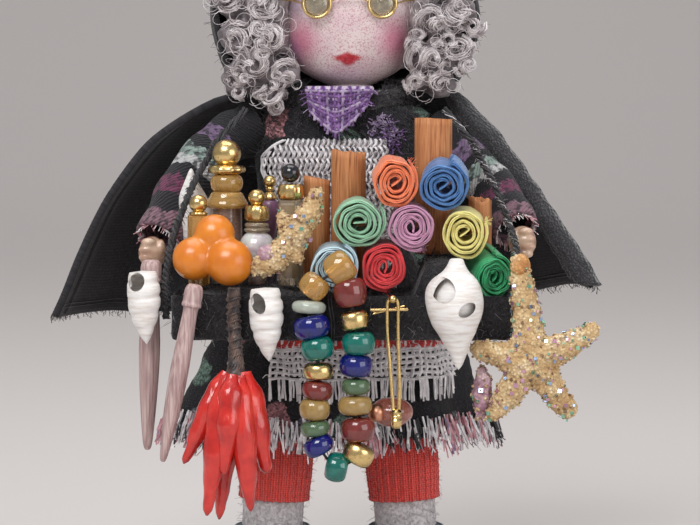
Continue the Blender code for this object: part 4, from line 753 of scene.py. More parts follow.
def melted(form, voxel, rounds=6):
    """The same forms run together into one smooth skin."""
    guide = linked("melted", ended("melted", form))
    remesh = guide.modifiers.new("skin", "REMESH")
    remesh.mode = "VOXEL"
    remesh.voxel_size = voxel * MM
    form = settled(guide)
    for _ in range(rounds):
        bmesh.ops.smooth_vert(form, verts=form.verts, factor=0.5, use_axis_x=True,
                              use_axis_y=True, use_axis_z=True)
    form.normal_update()
    return form


def roughened(form, *layers):
    """Moves each vertex along its normal by layers of noise: (depth, scale) in millimetres."""
    form.normal_update()
    moves = [vertex.normal * sum(depth * wobble(vertex.co, scale, 7 * i)
                                 for i, (depth, scale) in enumerate(layers)) * MM
             for vertex in form.verts]
    for vertex, move in zip(form.verts, moves):
        vertex.co += move
    form.normal_update()
    return form


class Chance(random.Random):
    """Seeded random draws."""

    def near(self, reach):
        return self.uniform(-reach, reach)

    def shift(self, reach):
        """A vector whose three parts are drawn in turn."""
        return Vector([self.near(reach) for _ in range(3)])


def scattered(made, count, chance, keep=None, tries=3):
    """Random places on a piece's skin with the skin's direction there."""
    mesh = made.data
    mesh.calc_loop_triangles()
    areas = [triangle.area for triangle in mesh.loop_triangles]
    found = []
    for triangle in chance.choices(mesh.loop_triangles, weights=areas, k=count * tries):
        a, b, c = [mesh.vertices[i].co for i in triangle.vertices]
        u, v = sorted((chance.random(), chance.random()))
        place = a * u + b * (v - u) + c * (1 - v)
        if keep is None or keep(place, triangle.normal):
            found.append((place, Vector(triangle.normal)))
            if len(found) == count:
                break
    return found


def fluff(name, places, finish, slot, length, girth, chance, droop=0.3, spread=0.8):
    """Short bent fibres that stand off the cloth."""
    lines = []
    for place, way in places:
        reach = length * chance.uniform(0.45, 1.3) * MM
        way = (way + chance.shift(spread)).normalized()
        side = chance.shift(0.6)
        line = [place - way * 0.05 * MM]
        for share in (0.5, 1.0):
            bend = side * share * share + Vector((0, 0, -droop * share * share))
            line.append(place + (way * share + bend * 0.7) * reach)
        lines.append((line, [girth * (1 - 0.2 * k) * MM for k in range(3)]))
    return strands(name, lines, finish, sides=3)


def bent(start, way, reach, bend):
    """A fibre's three points; reach and bend are in millimetres."""
    return [start, start + way * reach * 0.5 * MM, start + (way * reach + bend) * MM]


def away(angle, size):
    """A move of so many millimetres, level, at an angle from the front."""
    return Vector((sin(angle), -cos(angle), 0)) * size * MM


def by_hue(start, lines, sides=4):
    """One piece for each finish's threads."""
    for hue, threads in lines.items():
        strands(start + hue.split("_")[0], threads, hue, sides=sides)


def middle_of(node):
    """A node's middle and span."""
    low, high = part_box(node)
    return (low + high) / 2, high - low


# Cape and hood, as in the solids
CAPE_TOP = 53
CAPE_COLLAR = 6.4
CAPE_SHOULDER = (10.65, 8.25)
CAPE_SHOULDER_SHARE = 0.25
CAPE_SHOULDER_DROP = 0.9
CAPE_REACH = (28.4, 24.4)
CAPE_DEPTH = 12.4
CAPE_HEM = (30, 33.2, 29)
CAPE_BOW = (4.2, 0.2, 1.6)
CAPE_OPENING = radians(97)
CAPE_CLOTH = 0.8
CAPE_Y = 1
HOOD_SIZE = (12.9, 10, 10.8)
HOOD_MIDDLE = (0, 1.6, 58.4)
HOOD_FRONT = -0.8
HOOD_LOW = 52.3


def cape_point(across, down):
    """A point on the cape's inner face, with its folds and its turned-out front edges."""
    around = 2 * across - 1
    angle = around * CAPE_OPENING
    side = sin(angle)
    right = side > 0
    hem = CAPE_HEM[2] + (CAPE_HEM[1 if right else 0] - CAPE_HEM[2]) * side * side
    top = CAPE_TOP - CAPE_CLOTH
    if down < CAPE_SHOULDER_SHARE:
        share = down / CAPE_SHOULDER_SHARE
        wide = CAPE_COLLAR + (CAPE_SHOULDER[0] - CAPE_COLLAR) * share
        deep = CAPE_COLLAR + (CAPE_SHOULDER[1] - CAPE_COLLAR) * share
        drop = CAPE_SHOULDER_DROP * share ** 1.6
        return at(wide * side, CAPE_Y + deep * cos(angle), top - drop)
    share = (down - CAPE_SHOULDER_SHARE) / (1 - CAPE_SHOULDER_SHARE)
    bow = CAPE_BOW[2] + (CAPE_BOW[1 if right else 0] - CAPE_BOW[2]) * side * side
    bow *= sin(pi * share ** 0.6)
    fold = 0.9 * share * cos(7 * angle) + 0.35 * share * sin(17 * angle + 3 * share)
    reach = CAPE_REACH[1 if right else 0]
    wide = CAPE_SHOULDER[0] + (reach - CAPE_CLOTH - CAPE_SHOULDER[0]) * share + bow
    deep = CAPE_SHOULDER[1] + (CAPE_DEPTH - CAPE_SHOULDER[1]) * share + bow + fold
    top -= CAPE_SHOULDER_DROP
    place = at(wide * side, CAPE_Y + deep * cos(angle), top + (hem - top) * share)
    sag = Vector((side, cos(angle), 0)) * share * wobble(place, 6, 3) * 0.35
    turned_out = smooth((abs(around) - 0.91) / 0.09) * smooth(share * 4)
    sag += Vector((copysign(0.7, side) * turned_out, -1.2 * turned_out,
                   0.35 * wobble(place, 5) * share))
    return place + sag * MM


def make_cape():
    form = grid(120, 48, cape_point, (62, 27))
    cape = thick(piece("cape_cloth", form, "black_wool", ["cape"]), 0.7)
    form = grid(8, 90, cape_fold, (2.6, 24))
    # The folded band is the cape's black wool, painted lighter as painted light.
    thick(piece("cape_fold", form, "speckled_wool"), 0.34)
    lines = [([outside_cape(across, 0.27 + 0.72 * k / 90) for k in range(91)], 0.07 * MM)
             for across in (0.028, 0.034, 0.968)]
    lines += [([outside_cape(0.02 + 0.96 * k / 160, down) for k in range(161)], 0.06 * MM)
              for down in (0.955, 0.968)]
    strands("cape_seams", lines, "black_thread")
    return cape


def outside_cape(across, down):
    """A point on the cape's outer face."""
    place = cape_point(across, down)
    beside = cape_point(min(across + 0.01, 1), down) - cape_point(max(across - 0.01, 0), down)
    below = cape_point(across, min(down + 0.01, 1)) - cape_point(across, down - 0.01)
    return place + below.cross(beside).normalized() * 0.72 * MM


def cape_fold(across, down):
    """The cape's right front edge, folded outward as a narrow band."""
    height = 0.17 + 0.83 * down
    edge = cape_point(1, height)
    inner = cape_point(0.985, height)
    share = smooth(down * 5)
    out = Vector((sin(pi * across) * -0.5 + (0.6 - 2.9 * across) * share,
                  -0.25 - 0.75 * sin(pi * min(across * 1.2, 1)) * share
                  - 0.2 * across, 0.35 * across))
    crumple = 0.22 * wobble(edge, 1.8, 8 + across) * share
    return edge.lerp(inner, 0.3) + (out + Vector((crumple, -abs(crumple), 0))) * MM


def make_cape_fluff(cape):
    """Short fibres on the cloth's skin and its cut edges."""
    chance = Chance(31)
    front = scattered(cape, 1100, chance, lambda p, n: n.z > -0.6)
    fluff("cape_fluff", front, "wool_fibre", "black_cloth", 0.8, 0.022, chance)
    lines = []
    for i in range(420):
        side = Vector((chance.near(0.5), chance.uniform(-0.6, 0.3), -1))
        reach = chance.uniform(0.3, 1)
        bend = Vector((chance.near(0.3), 0, 0.1))
        lines.append((bent(cape_point(i / 419, 1), side, reach, bend), 0.025 * MM))
    strands("cape_edge_fibres", lines, "wool_fibre")


def make_hood():
    """An egg of cloth, cut open at the front and off at the shoulders."""
    form = bmesh.new()
    bmesh.ops.create_uvsphere(form, u_segments=110, v_segments=60, radius=1)
    layer = form.loops.layers.uv.new("cloth")
    for face in form.faces:
        for loop in face.loops:
            place = loop.vert.co
            loop[layer].uv = (atan2(place.x, place.y) * 11, place.z * 16)
    for vertex in form.verts:
        around = atan2(vertex.co.x, vertex.co.y)
        gathered = 0.3 * cos(13 * around) * smooth((-vertex.co.z + 0.1) * 1.6)
        pleat = 0.28 * wobble(vertex.co * 9 * MM, 4.5, 5) + gathered
        vertex.co = at(*(Vector(HOOD_MIDDLE) + Vector([
            vertex.co[i] * (HOOD_SIZE[i] + pleat) for i in range(3)])))
    for point, way in ((at(0, HOOD_FRONT, 0), (0, -1, 0)),
                       (at(0, 0, HOOD_LOW), (0, 0, -1))):
        bmesh.ops.bisect_plane(form, geom=form.verts[:] + form.edges[:] + form.faces[:],
                               plane_co=point, plane_no=way, clear_outer=True)
    for vertex in form.verts:
        if vertex.co.y < at(0, HOOD_FRONT + 1.2, 0).y:
            vertex.co.y -= 0.5 * MM * (0.5 + wobble(vertex.co, 2.4, 6))
    hood = thick(piece("hood_cloth", form, "black_wool", ["hood"]), 0.6, -1)
    chance = Chance(32)
    fluff("hood_fluff", scattered(hood, 500, chance), "wool_fibre", "black_cloth", 0.7, 0.022,
          chance)


DRESS_STATIONS = (
    (18.9, 15.6, 10.2, -1.6, 2), (25, 12.9, 8.7, -1, 1.8), (30, 11, 7.6, -0.6, 1.4),
    (34.5, 9.6, 6.4, -0.2, 0.8), (39, 8.2, 4.9, 0, 0.3), (45.5, 8.8, 5, 0, 0.2),
    (49.5, 8.2, 4.2, 0, 0.2), (50.8, 3.3, 3, 0, 0.2),
)
HEM = 18.9
WAIST = 39
COLLAR = 50.8
SKIRT_HOLLOW_TOP = 31


def dress_point(angle, height, offset=0):
    """A point on the dress at an angle from the front and a height."""
    half_width, half_depth, middle_x, middle_y = between(DRESS_STATIONS, height)
    fullness = smooth((WAIST - height) / (WAIST - HEM))
    out = offset + 0.55 * fullness * cos(9 * angle)
    return at(middle_x + (half_width + out) * sin(angle),
              middle_y - (half_depth + out) * cos(angle), height)


def dress_angle(x, height):
    """The angle on the dress's front whose point lies at a given X."""
    half_width, _, middle_x, _ = between(DRESS_STATIONS, height)
    return asin(min(max((x - middle_x) / half_width, -0.97), 0.97))


def make_dress():
    """Bodice and bell skirt, hollow from the hem up to the hips, with a ragged hem."""

    def place(across, down):
        point = dress_point(tau * across, COLLAR + (HEM - COLLAR) * down)
        ruffle = 0.16 * wobble(point, 1.6, 2) + 0.12 * wobble(point, 0.6, 4)
        return point + away(tau * across, ruffle - 0.12)

    form = outward(closed_tube(120, 62, place, (70, 32)))
    dress = thick(piece("dress_cloth", form, "printed_cotton", ["dress"]), 0.5, -1)
    make_collar(dress)
    chance = Chance(33)
    tufts = scattered(dress, 750, chance, lambda p, n: p.y < MIDDLE.y)
    fluff("dress_fluff", tufts, "wool_fibre", "print_cloth", 0.75, 0.028, chance, 0.2, 1)

    def fallen(up, out, spread):
        """Where a tuft of the hem starts, and its way down."""
        angle = chance.uniform(0, tau)
        start = dress_point(angle, HEM + chance.uniform(*up), chance.uniform(*out))
        way = Vector((spread[0] * sin(angle) + chance.near(spread[1]),
                      -spread[0] * cos(angle) + chance.near(spread[1]), -1))
        return angle, start, way

    band = {"black_thread": [], "white_wool": [], "pink_thread": [], "lilac_thread": []}
    for _ in range(1150):
        angle, start, way = fallen((0.2, 2.1), (0.15, 0.6), (0.25, 0.2))
        reach = chance.uniform(1, 2.3)
        tone = drift(angle * 3.2, 4) + chance.near(0.25)
        hue = list(band)[(tone >= -0.3) + (tone >= 0.12) + (tone >= 0.38)]
        bend = Vector((chance.near(0.2), chance.near(0.2), 0))
        band[hue].append((bent(start, way, reach, bend), chance.uniform(0.07, 0.13) * MM))
    by_hue("hem_band_", band, 3)
    lines = {"black_thread": [], "white_thread": [], "pink_thread": []}
    for _ in range(900):
        _, start, way = fallen((0, 0.8), (-0.5, 0), (0.35, 0.35))
        reach = chance.uniform(0.5, 2.1) * MM
        bend = Vector((chance.near(0.5), chance.near(0.5), 0.2)) * MM
        hue = chance.choices(list(lines), (4, 3, 3))[0]
        lines[hue].append(([start, start + way * reach * 0.4,
                            start + way * reach * 0.75 + bend * 0.3,
                            start + way * reach + bend * 0.7], chance.uniform(0.035, 0.07) * MM))
    by_hue("hem_fringe_", lines, 3)
    return dress


def make_collar(dress):
    """The dress's thick, fluffy neck edge, which fills the throat below the chin."""
    form = bmesh.new()
    for k in range(60):
        a = tau * k / 60
        size = 1.05 + 0.18 * drift(k * 0.4, 2, 5)
        spot = at(4.9 * sin(a), 0.3 - 3.9 * cos(a), 51.2 - 0.8 * cos(a))
        joined(form, ball((size, size, size * 0.9), spot, 12, 8))
    joined(form, ball((5.2, 4.2, 0.9), at(0, 0.3, 50.4), 24, 12))
    form = roughened(melted(form, 0.3, 2), (0.25, 0.9), (0.12, 0.35))
    collar = piece("fluffy_collar", form, "dark_lining")
    chance = Chance(34)
    tufts = scattered(collar, 1100, chance, lambda p, n: p.y < MIDDLE.y and n.z > -0.5
                      and (n.z < 0.6 or abs(p.x - MIDDLE.x) > 3.5 * MM))
    fluff("collar_fluff", tufts, "black_thread", "print_cloth", 0.9, 0.045, chance, 0.3, 1.2)
    chest = scattered(dress, 900, chance,
                      lambda p, n: p.y < MIDDLE.y - MM and p.z > 43.5 * MM, 12)
    fluff("chest_fluff", chest, "black_thread", "print_cloth", 0.9, 0.05, chance, 0.3, 1.3)
    for hue, x, height, wide, count in (("lilac_thread", 3.6, 47.7, 1.5, 170),
                                        ("violet_thread", 4.3, 46.9, 1.4, 110),
                                        ("pale_fibre", -4.6, 45.9, 0.9, 50)):
        middle = dress_point(dress_angle(x, height), height)
        near = scattered(dress, count, chance, lambda p, n: n.y < 0
                         and (p - middle).length < wide * MM, 400)
        fluff("chest_tuft_%s_%d" % (hue.split("_")[0], count), near, hue, "print_cloth",
              0.42, 0.1, chance, 0.1, 1.2)


# Hair: each bunch's curls as X from the head's middle, height from the eyes, forward, radius
LEFT_CURLS = (
    (-8.35, -0.1, 3.4, 2.3), (-10.55, -3, 2.9, 2.3), (-10.5, -6.9, 2.8, 2.1),
    (-8.9, -5.7, 3.9, 2.2), (-6.1, -6.5, 4.3, 1.8), (-7.35, -3.2, 4.3, 2),
    (-11.2, 0.6, 2.2, 2.2), (-6.9, 2.6, 4.2, 2.1), (-9.8, 3.6, 2.4, 2.5),
    (-7.6, -8.4, 3.4, 1.7),
)
RIGHT_CURLS = (
    (10.2, -0.6, 3, 2.2), (7.7, -1.4, 3.9, 2), (10, -4.4, 2.8, 2.2),
    (7.15, -4.9, 4, 1.9), (8.5, -7.2, 3.2, 2), (9.6, 2.4, 2.6, 2.4),
    (7, 2.8, 4.2, 2.1), (6.2, -7.2, 3.4, 1.3),
)


def ringlet(centre, facing, size, turns, depth, chance, count, knots=17):
    """One coiled lock: a spiral of fine threads, seen from its end."""
    facing = facing.normalized()
    across = facing.cross(Vector((0, 0, 1))).normalized()
    up = across.cross(facing).normalized()
    start = chance.uniform(0, tau)
    hand = chance.choice((-1, 1))
    oval = chance.uniform(0.78, 1)
    threads = []
    for i in range(count):
        turn = tau * i / count + chance.near(0.4)
        twist = chance.uniform(0.6, 1.9) * hand
        loose = chance.uniform(0.55, 1.12) + (0.7 if chance.random() < 0.08 else 0)
        first = chance.uniform(0, 0.14)
        line = []
        for k in range(knots):
            share = first + (1 - first) * k / (knots - 1)
            angle = start + hand * share * turns * tau
            outward = across * cos(angle) + up * sin(angle) * oval
            swing = turn + twist * share * tau
            wide = 0.24 * size * loose * (0.35 + 0.65 * sin(pi * min(0.08 + 0.8 * share, 1)))
            reach = size * (0.16 + 0.64 * share ** 0.8) + wide * cos(swing)
            line.append(centre + (outward * reach + facing * (
                depth * (0.5 - share) + wide * sin(swing))) * MM)
        threads.append((line, chance.uniform(0.024, 0.044) * MM))
    return threads


def make_hair():
    """Bunches of coiled locks over soft blobs of painted shade and a darker cap, with loose loops
    round them.
    """
    chance = Chance(11)
    heart = at(HEAD_X, -1, EYE_Z - 1.5)
    for word, curls in (("left", LEFT_CURLS), ("right", RIGHT_CURLS)):
        threads = []
        shade_blobs = bmesh.new()
        for x, up, forward, radius in curls:
            middle = at(HEAD_X + x, -forward, EYE_Z + up)
            joined(shade_blobs, ball((radius * 0.8, radius * 0.62, radius * 0.8),
                                middle + Vector((0, 0.55, 0)) * MM, 20, 14))
            for i in range(5):
                shift = Vector((chance.near(0.75), chance.uniform(-0.35, 0.2),
                                chance.near(0.75)))
                place = middle + (shift if i else Vector((0, -0.35, 0))) * radius * MM
                way = (place - heart).normalized() * 0.5 + Vector((0, -1, 0)) + chance.shift(0.9)
                size = radius * (chance.uniform(0.42, 0.62) if i else 0.82)
                threads += ringlet(place, way, size, chance.uniform(1.4, 2.2),
                                   chance.uniform(0.4, 1.9) * size, chance, 15 if i else 26)
            for i in range(7):
                place = middle + chance.shift(0.9) * radius * MM
                wide = chance.uniform(0.5, 1.1) * MM
                turn = chance.uniform(0, tau)
                lean = chance.shift(1).normalized()
                side = lean.cross(Vector((0.1, 1, 0.2))).normalized()
                loop = [place + Vector((0, -0.3 * radius, 0)) * MM
                        + (side * cos(a) + lean * sin(a)) * wide * (0.7 + 0.3 * a / 7)
                        for a in [turn + 0.5 * k for k in range(15)]]
                threads.append((loop, 0.026 * MM))
        # The dark blobs behind the locks are painted shade.
        form = roughened(melted(shade_blobs, 0.3, 3), (0.35, 0.7))
        piece("hair_shade_blobs_" + word, form, "hair_shade")
        strands("ringlets_" + word, threads, "silver_hair", sides=3)
    make_hair_cap()


def make_hair_cap():
    """The hair that covers the crown and the back of the head, under the hood, in a grey of
    painted half shade.
    """
    form = bmesh.new()
    for x, up, back, radii in ((0, 3.4, 0.6, (8.3, 7, 5.6)), (-5, 0.5, 1.2, (4.6, 5.4, 6.6)),
                               (5, 0.5, 1.2, (4.6, 5.4, 6.6)), (0, -1, 3.6, (7.4, 4.4, 6.2))):
        joined(form, ball(radii, at(HEAD_X + x, back, EYE_Z + up), 28, 20))
    form = melted(form, 0.5, 3)
    front = MIDDLE.y - 1.5 * MM
    for vertex in form.verts:
        local = vertex.co - at(HEAD_X, -8, EYE_Z - 2.2)
        near = sqrt((local.x / 6.6) ** 2 + (local.z / 8.4) ** 2) / MM
        if near < 1 and vertex.co.y < front:
            vertex.co.y += (front - vertex.co.y) * smooth((1 - near) * 4)
    roughened(form, (0.45, 1.5), (0.22, 0.5))
    # The cap's mid grey is the silver hair painted as half shade.
    cap = piece("hair_cap", form, "hair_mid", ["hair"])
    chance = Chance(12)
    lines = []
    for place, way in scattered(cap, 260, chance,
                                lambda p, n: n.z > -0.4 and p.y < MIDDLE.y + MM):
        side = way.cross(Vector((0, 1, 0))).normalized()
        wide = chance.uniform(0.35, 0.8) * MM
        spin = chance.choice((-1, 1))
        lines.append(([place + way * 0.1 * MM + (side * sin(spin * a) + way.cross(side)
                       * (1 - cos(a)) + way * sin(a * 0.5) * 0.45) * wide
                       for a in [0.5 * k for k in range(11)]], 0.035 * MM))
    strands("crown_curls", lines, "silver_hair", sides=3)


def make_head():
    """A broad, flat-faced head with a full chin, on a short neck."""
    form = bmesh.new()
    bmesh.ops.create_uvsphere(form, u_segments=84, v_segments=60, radius=1)

    def swell(x, z, wide, high):
        return exp(-(x / wide) ** 2 - (z / high) ** 2)

    for vertex in form.verts:
        way = Vector(vertex.co)
        jaw = smooth((-way.z - 0.15) / 0.6) * smooth((1 + way.z) / 0.25)
        x, y, z = (way.x * HEAD_SIZE[0] * (1 + 0.17 * jaw), way.y * HEAD_SIZE[1],
                   way.z * (HEAD_SIZE[2] + 0.35 * smooth(-way.z)))
        y -= smooth((-way.y - 0.3) / 0.7) * (
            0.3 * swell(x + 0.3, z + 6.3, 2.2, 1.5) + 0.16 * swell(x + 0.17, z + 5.1, 1.3, 0.7)
            + 0.22 * swell(abs(x) - 4, z + 3.4, 1.8, 2.2))
        vertex.co = at(HEAD_X + x, y, EYE_Z + z)
    neck = spun([(0, 4), (2.4, 4), (2, 2), (2.1, 0), (0, 0)], 40)
    joined(form, neck, Matrix.Translation(at(HEAD_X, 0, 50.9)))
    return piece("painted_head", form, "face_paint", ["head"])


def make_eyes():
    """Glassy eyes and the gold wire spectacles round them."""
    rings = []
    for side, word, pupil in ((-1, "left", (-0.25, 0.3)), (1, "right", (0.05, 0.3))):
        x = HEAD_X + 3.05 * side
        middle = at(x, -4.95, EYE_Z)
        form = ball((1.02, 1.02, 1.02), middle, 36, 24)
        dark = spun([(0, 0.09), (0.25, 0.07), (0.37, 0), (0.25, -0.07), (0, -0.09)], 24)
        way = Vector((pupil[0], -0.93, pupil[1])).normalized()
        joined(form, dark, along(middle + way * 0.99 * MM, way), 1)
        joined(form, ball((1.13, 0.42, 1.13), at(x, -6.02, EYE_Z), 32, 20), None, 2)
        piece("glass_" + word, form, ["eye_grey", "eye_dark", "clear_glass"],
              ["eye_" + word], 80)
        circle = [at(x + 1.27 * cos(a), -6.245, EYE_Z + 1.27 * sin(a))
                  for a in [tau * k / 48 for k in range(49)]]
        rings += [(circle, 0.15 * MM),
                  ([circle[0 if side > 0 else 24], at(HEAD_X + 5.2 * side, -5.4, EYE_Z + 0.3),
                    at(HEAD_X + 6.5 * side, -3.2, EYE_Z + 0.5)], 0.09 * MM)]
    bridge = [at(HEAD_X + x, y, EYE_Z + up) for x, y, up in (
        (-1.75, -6.25, 0.25), (-0.9, -6.6, 0.62), (0, -6.75, 0.72), (0.9, -6.6, 0.62),
        (1.75, -6.25, 0.25))]
    rings.append((rounded_route(bridge, 5), 0.12 * MM))
    piece("wire_spectacles", tidied(strands_form("wire_spectacles", rings, 12)), "gilt",
          ["spectacles"])


APRON_STATIONS = ((23, -7.2, 10.6), (31, -6.8, 8.6), (39.5, -6, 4.6), (44.25, -7.4, 3.9),
                  (49, -6.8, 3.7))
STRIPE = (27.35, 28.05)
BIB_TOP = 46.8
BIB_FOOT = 38.6
APRON_PITCH = 0.52


def apron_place(x, height, out=0.42):
    """A point on the apron's cloth."""
    return dress_point(dress_angle(x, height), height, out)


def make_apron():
    """Open-weave skirt part with a red stripe and a fringe, under a knitted bib."""
    chance = Chance(41)
    white, red, tails = [], [], []
    x = -6.9
    while x < 10.5:
        top = 38.5 if -6 < x < 4.6 else 31.5
        line = [apron_place(x + 0.1 * sin(h * 2 + x), h, 0.42 + 0.1 * sin(x * 9 + h * 6.2))
                for h in [top - 0.3 * k for k in range(int((top - 24.3) / 0.3))]]
        white.append((line, chance.uniform(0.14, 0.19) * MM))
        for _ in range(3):
            foot = apron_place(x + chance.near(0.22), 24.5, chance.uniform(0.4, 0.6))
            way = Vector((chance.near(0.1), -0.1, -1))
            long = chance.uniform(1.6, 2.3) * MM
            bend = Vector((chance.near(0.08) * MM, 0, 0))
            tails.append(([foot, foot + way * long * 0.5 + bend, foot + way * long],
                          chance.uniform(0.08, 0.13) * MM))
        x += APRON_PITCH * chance.uniform(0.88, 1.12)
    height = 38.3
    while height > 24.4:
        left, right = (-6.9, 10.5) if height < 31.5 else (-6, 4.6)
        line = [apron_place(left + (right - left) * k / 46,
                            height + 0.07 * sin(k * 0.9 + height),
                            0.42 + 0.1 * sin(k * 2.4 + height * 6)) for k in range(47)]
        if STRIPE[0] <= height <= STRIPE[1]:
            red += [([p + Vector((0, -0.05, shift)) * MM for p in line], 0.1 * MM)
                    for shift in (-0.12, 0.02, 0.15)]
        else:
            white.append((line, chance.uniform(0.13, 0.18) * MM))
        height -= 0.21 if STRIPE[0] - 0.25 < height < STRIPE[1] + 0.25 else APRON_PITCH
    for _ in range(160):
        line = [apron_place(chance.uniform(-6.9, 10.4), chance.uniform(24.6, 31), 0.5)]
        for _ in range(4):
            line.append(line[-1] + Vector((chance.near(0.5), chance.uniform(-0.25, 0.1),
                                           chance.uniform(-0.6, 0.3))) * MM)
        tails.append((rounded_route(line, 3), 0.04 * MM))
    weave = strands("apron_weave", white, "white_thread", ["apron"])
    strands("apron_stripe", red, "red_thread")
    strands("apron_fringe", tails, "white_thread", sides=3)
    make_backing()
    make_bib(chance)
    return weave


def make_backing():
    """The cloth behind the threads: dark under the apron and pale under the bib."""

    def place(across, down):
        height = BIB_TOP + (24.6 - BIB_TOP) * down
        left, right = between(APRON_STATIONS, height)
        left = max(left, -7) + 0.3 + apron_sides(height)[0] - left
        return apron_place(left + (min(right, 10.3) - left) * across, height, 0.16)

    form = grid(34, 44, place, (17, 24))
    for face in form.faces:
        face.material_index = int(face.calc_center_median().z > BIB_FOOT * MM)
    cloth = thick(piece("apron_cloth", form, ["dark_lining", "pale_gauze"]), 0.14)


def make_bib(chance):
    """Rows of slanting knitted loops, edged with a bound border."""
    lines = []
    height = BIB_TOP
    row = 0
    while height > BIB_FOOT:
        left, right = apron_sides(height)
        slant = 0.14 if row % 2 else -0.14
        for i in range(int((right - left) / 0.46)):
            x = left + (i + 0.25 * (row % 2)) * 0.46 + 0.1
            foot = (x + slant + chance.near(0.04), height - 0.72)
            head = (x - slant + chance.near(0.04), height + 0.08)
            line = []
            for k in range(6):
                share = k / 5
                bow = sin(pi * share)
                px = head[0] + (foot[0] - head[0]) * share + 0.16 * bow
                pz = min(head[1] + (foot[1] - head[1]) * share, 49.4)
                line.append(apron_place(px, pz, 0.42 + 0.3 * bow))
            lines.append((line, chance.uniform(0.11, 0.17) * MM))
        height -= 0.58
        row += 1
    for i in range(2):
        border = []
        for k in range(30):
            height = BIB_FOOT + 0.2 + (BIB_TOP - BIB_FOOT - 0.2) * k / 29
            x = apron_sides(height)[0] - 0.05 + 0.16 * i + 0.05 * sin(k * 1.3 + i)
            border.append(apron_place(x, height, 0.62))
        lines.append((border, 0.09 * MM))
    for _ in range(150):
        start = apron_place(chance.uniform(-6.4, 3.6), chance.uniform(39, BIB_TOP), 0.75)
        ends = [start, start + chance.shift(0.5) * MM]
        ends.append(ends[-1] + Vector((chance.near(0.4), -0.2, 0.3)) * MM)
        lines.append((ends, 0.035 * MM))
    strands("knitted_bib", lines, "white_wool")


KERCHIEF_TOP = 51.55


def kerchief_place(across, down, out=1):
    """A point on the kerchief: tucked in under the chin, then down to its ragged edge."""
    side = 2 * across - 1
    tucked = max(1 - down / 0.25, 0)
    down = max(down - 0.25, 0) / 0.75
    edge = 47.4 + 2.4 * abs(side + 0.1) ** 1.3
    height = KERCHIEF_TOP + (edge - KERCHIEF_TOP) * down
    x = -0.6 + 3.15 * side * (1 - 0.15 * down)
    surface = apron_place(x, min(height, 49.5), out)
    pleat = 0.16 * sin(across * 19 + down * 3) * (1 - down * 0.6)
    return Vector((MIDDLE.x + x * MM, surface.y + (pleat + 1.8 * tucked) * MM, height * MM))


def make_kerchief():
    """A folded check kerchief with raised threads and ragged edges."""
    form = grid(44, 30, kerchief_place, (6.3, 4.6))
    cloth = thick(piece("kerchief_cloth", form, "purple_check", ["neckerchief"]),
                  0.32)
    chance = Chance(43)
    lines = {"lilac_thread": [], "violet_thread": [], "plum_thread": []}
    hues = list(lines)
    for i in range(17):
        across = 0.02 + 0.96 * i / 16
        line = [kerchief_place(across, k / 19, 1.34 + 0.1 * sin(i * 3.1 + k * 1.9))
                for k in range(20)]
        line.append(line[-1] + Vector((chance.near(0.2), 0, -chance.uniform(0.1, 0.5))) * MM)
        lines[hues[(1, 0, 2, 1)[i % 4]]].append((line, chance.uniform(0.1, 0.15) * MM))
    for i in range(12):
        down = 0.03 + 0.95 * i / 11
        line = [kerchief_place(k / 29, down, 1.34 - 0.1 * sin(k * 2.2 + i * 3))
                for k in range(30)]
        lines[hues[(1, 2, 1, 0)[i % 4]]].append((line, chance.uniform(0.1, 0.15) * MM))
    for _ in range(26):
        side = chance.choice((0, 1, chance.random()))
        start = kerchief_place(side, chance.random() if side in (0, 1) else 1, 1.3)
        way = Vector((side * 2 - 1, -0.3, -0.5 if side in (0, 1) else -1))
        threads = lines[chance.choice(hues)]
        bend = Vector((chance.near(0.2), 0, chance.near(0.2)))
        threads.append((bent(start, way, 0.5, bend), 0.04 * MM))
    by_hue("kerchief_", lines, 6)


SLEEVES = {
    "left": ((-8.4, 0.4, 48.2), (-11, -0.2, 46.9), (-13.4, -1.6, 44.9), (-15.6, -4.1, 41.6),
             (-17.3, -7.2, 37.8)),
    "right": ((7.7, 0.2, 47.5), (10.2, -0.5, 45.8), (12.6, -1.8, 43.5), (14.7, -4, 41),
              (15.9, -6.6, 38.6)),
}
SLEEVE_RADII = (2.1, 1.8)


def tube_place(route, radius_at):
    """A place on a tube round a route, by its angle and its share of the length."""
    last = len(route) - 1

    def place(across, down):
        step = min(int(down * last), last - 1)
        spot = route[step].lerp(route[step + 1], down * last - step)
        side, front = crosswise(route, step, Vector((0, -1, 0)))
        return spot + (side * sin(tau * across) - front * cos(tau * across)) \
            * radius_at(across, down) * MM

    return place


def make_sleeves():
    """Wide sleeves of banded print with frayed pink cuffs, and the hands in them."""
    chance = Chance(44)
    for word, knots in SLEEVES.items():
        route = rounded_route([at(*knot) for knot in knots], 8)

        def radius(across, down):
            crumple = 0.16 * drift(across * 6, down * 9, len(word))
            gather = 0.09 * sin(24 * down + 2 * sin(tau * across))
            return SLEEVE_RADII[0] + (SLEEVE_RADII[1] - SLEEVE_RADII[0]) * down + crumple + gather

        place = tube_place(route, radius)
        form = closed_tube(48, 60, place, (12.5, 15))
        sleeve = thick(piece("cuffed_sleeve_" + word, form, "banded_cotton",
                             ["sleeve_" + word]), 0.4)
        fluff("sleeve_fluff_" + word, scattered(sleeve, 620, chance), "wool_fibre", "print_cloth",
              0.6, 0.026, chance, 0.2, 1)
        lines = {"pink_thread": [], "white_thread": []}
        way = (route[-1] - route[-3]).normalized()
        for _ in range(80):
            start = place(chance.random(), 1)
            out = (start - route[-1]).normalized()
            end = start + (way * chance.uniform(0.2, 0.8) + out * chance.uniform(-0.1, 0.5)) * MM
            lines[chance.choice(list(lines))].append(
                ([start - way * 0.3 * MM, start, end], 0.045 * MM))
        by_hue("cuff_" + word + "_", lines)
        make_hand(word)


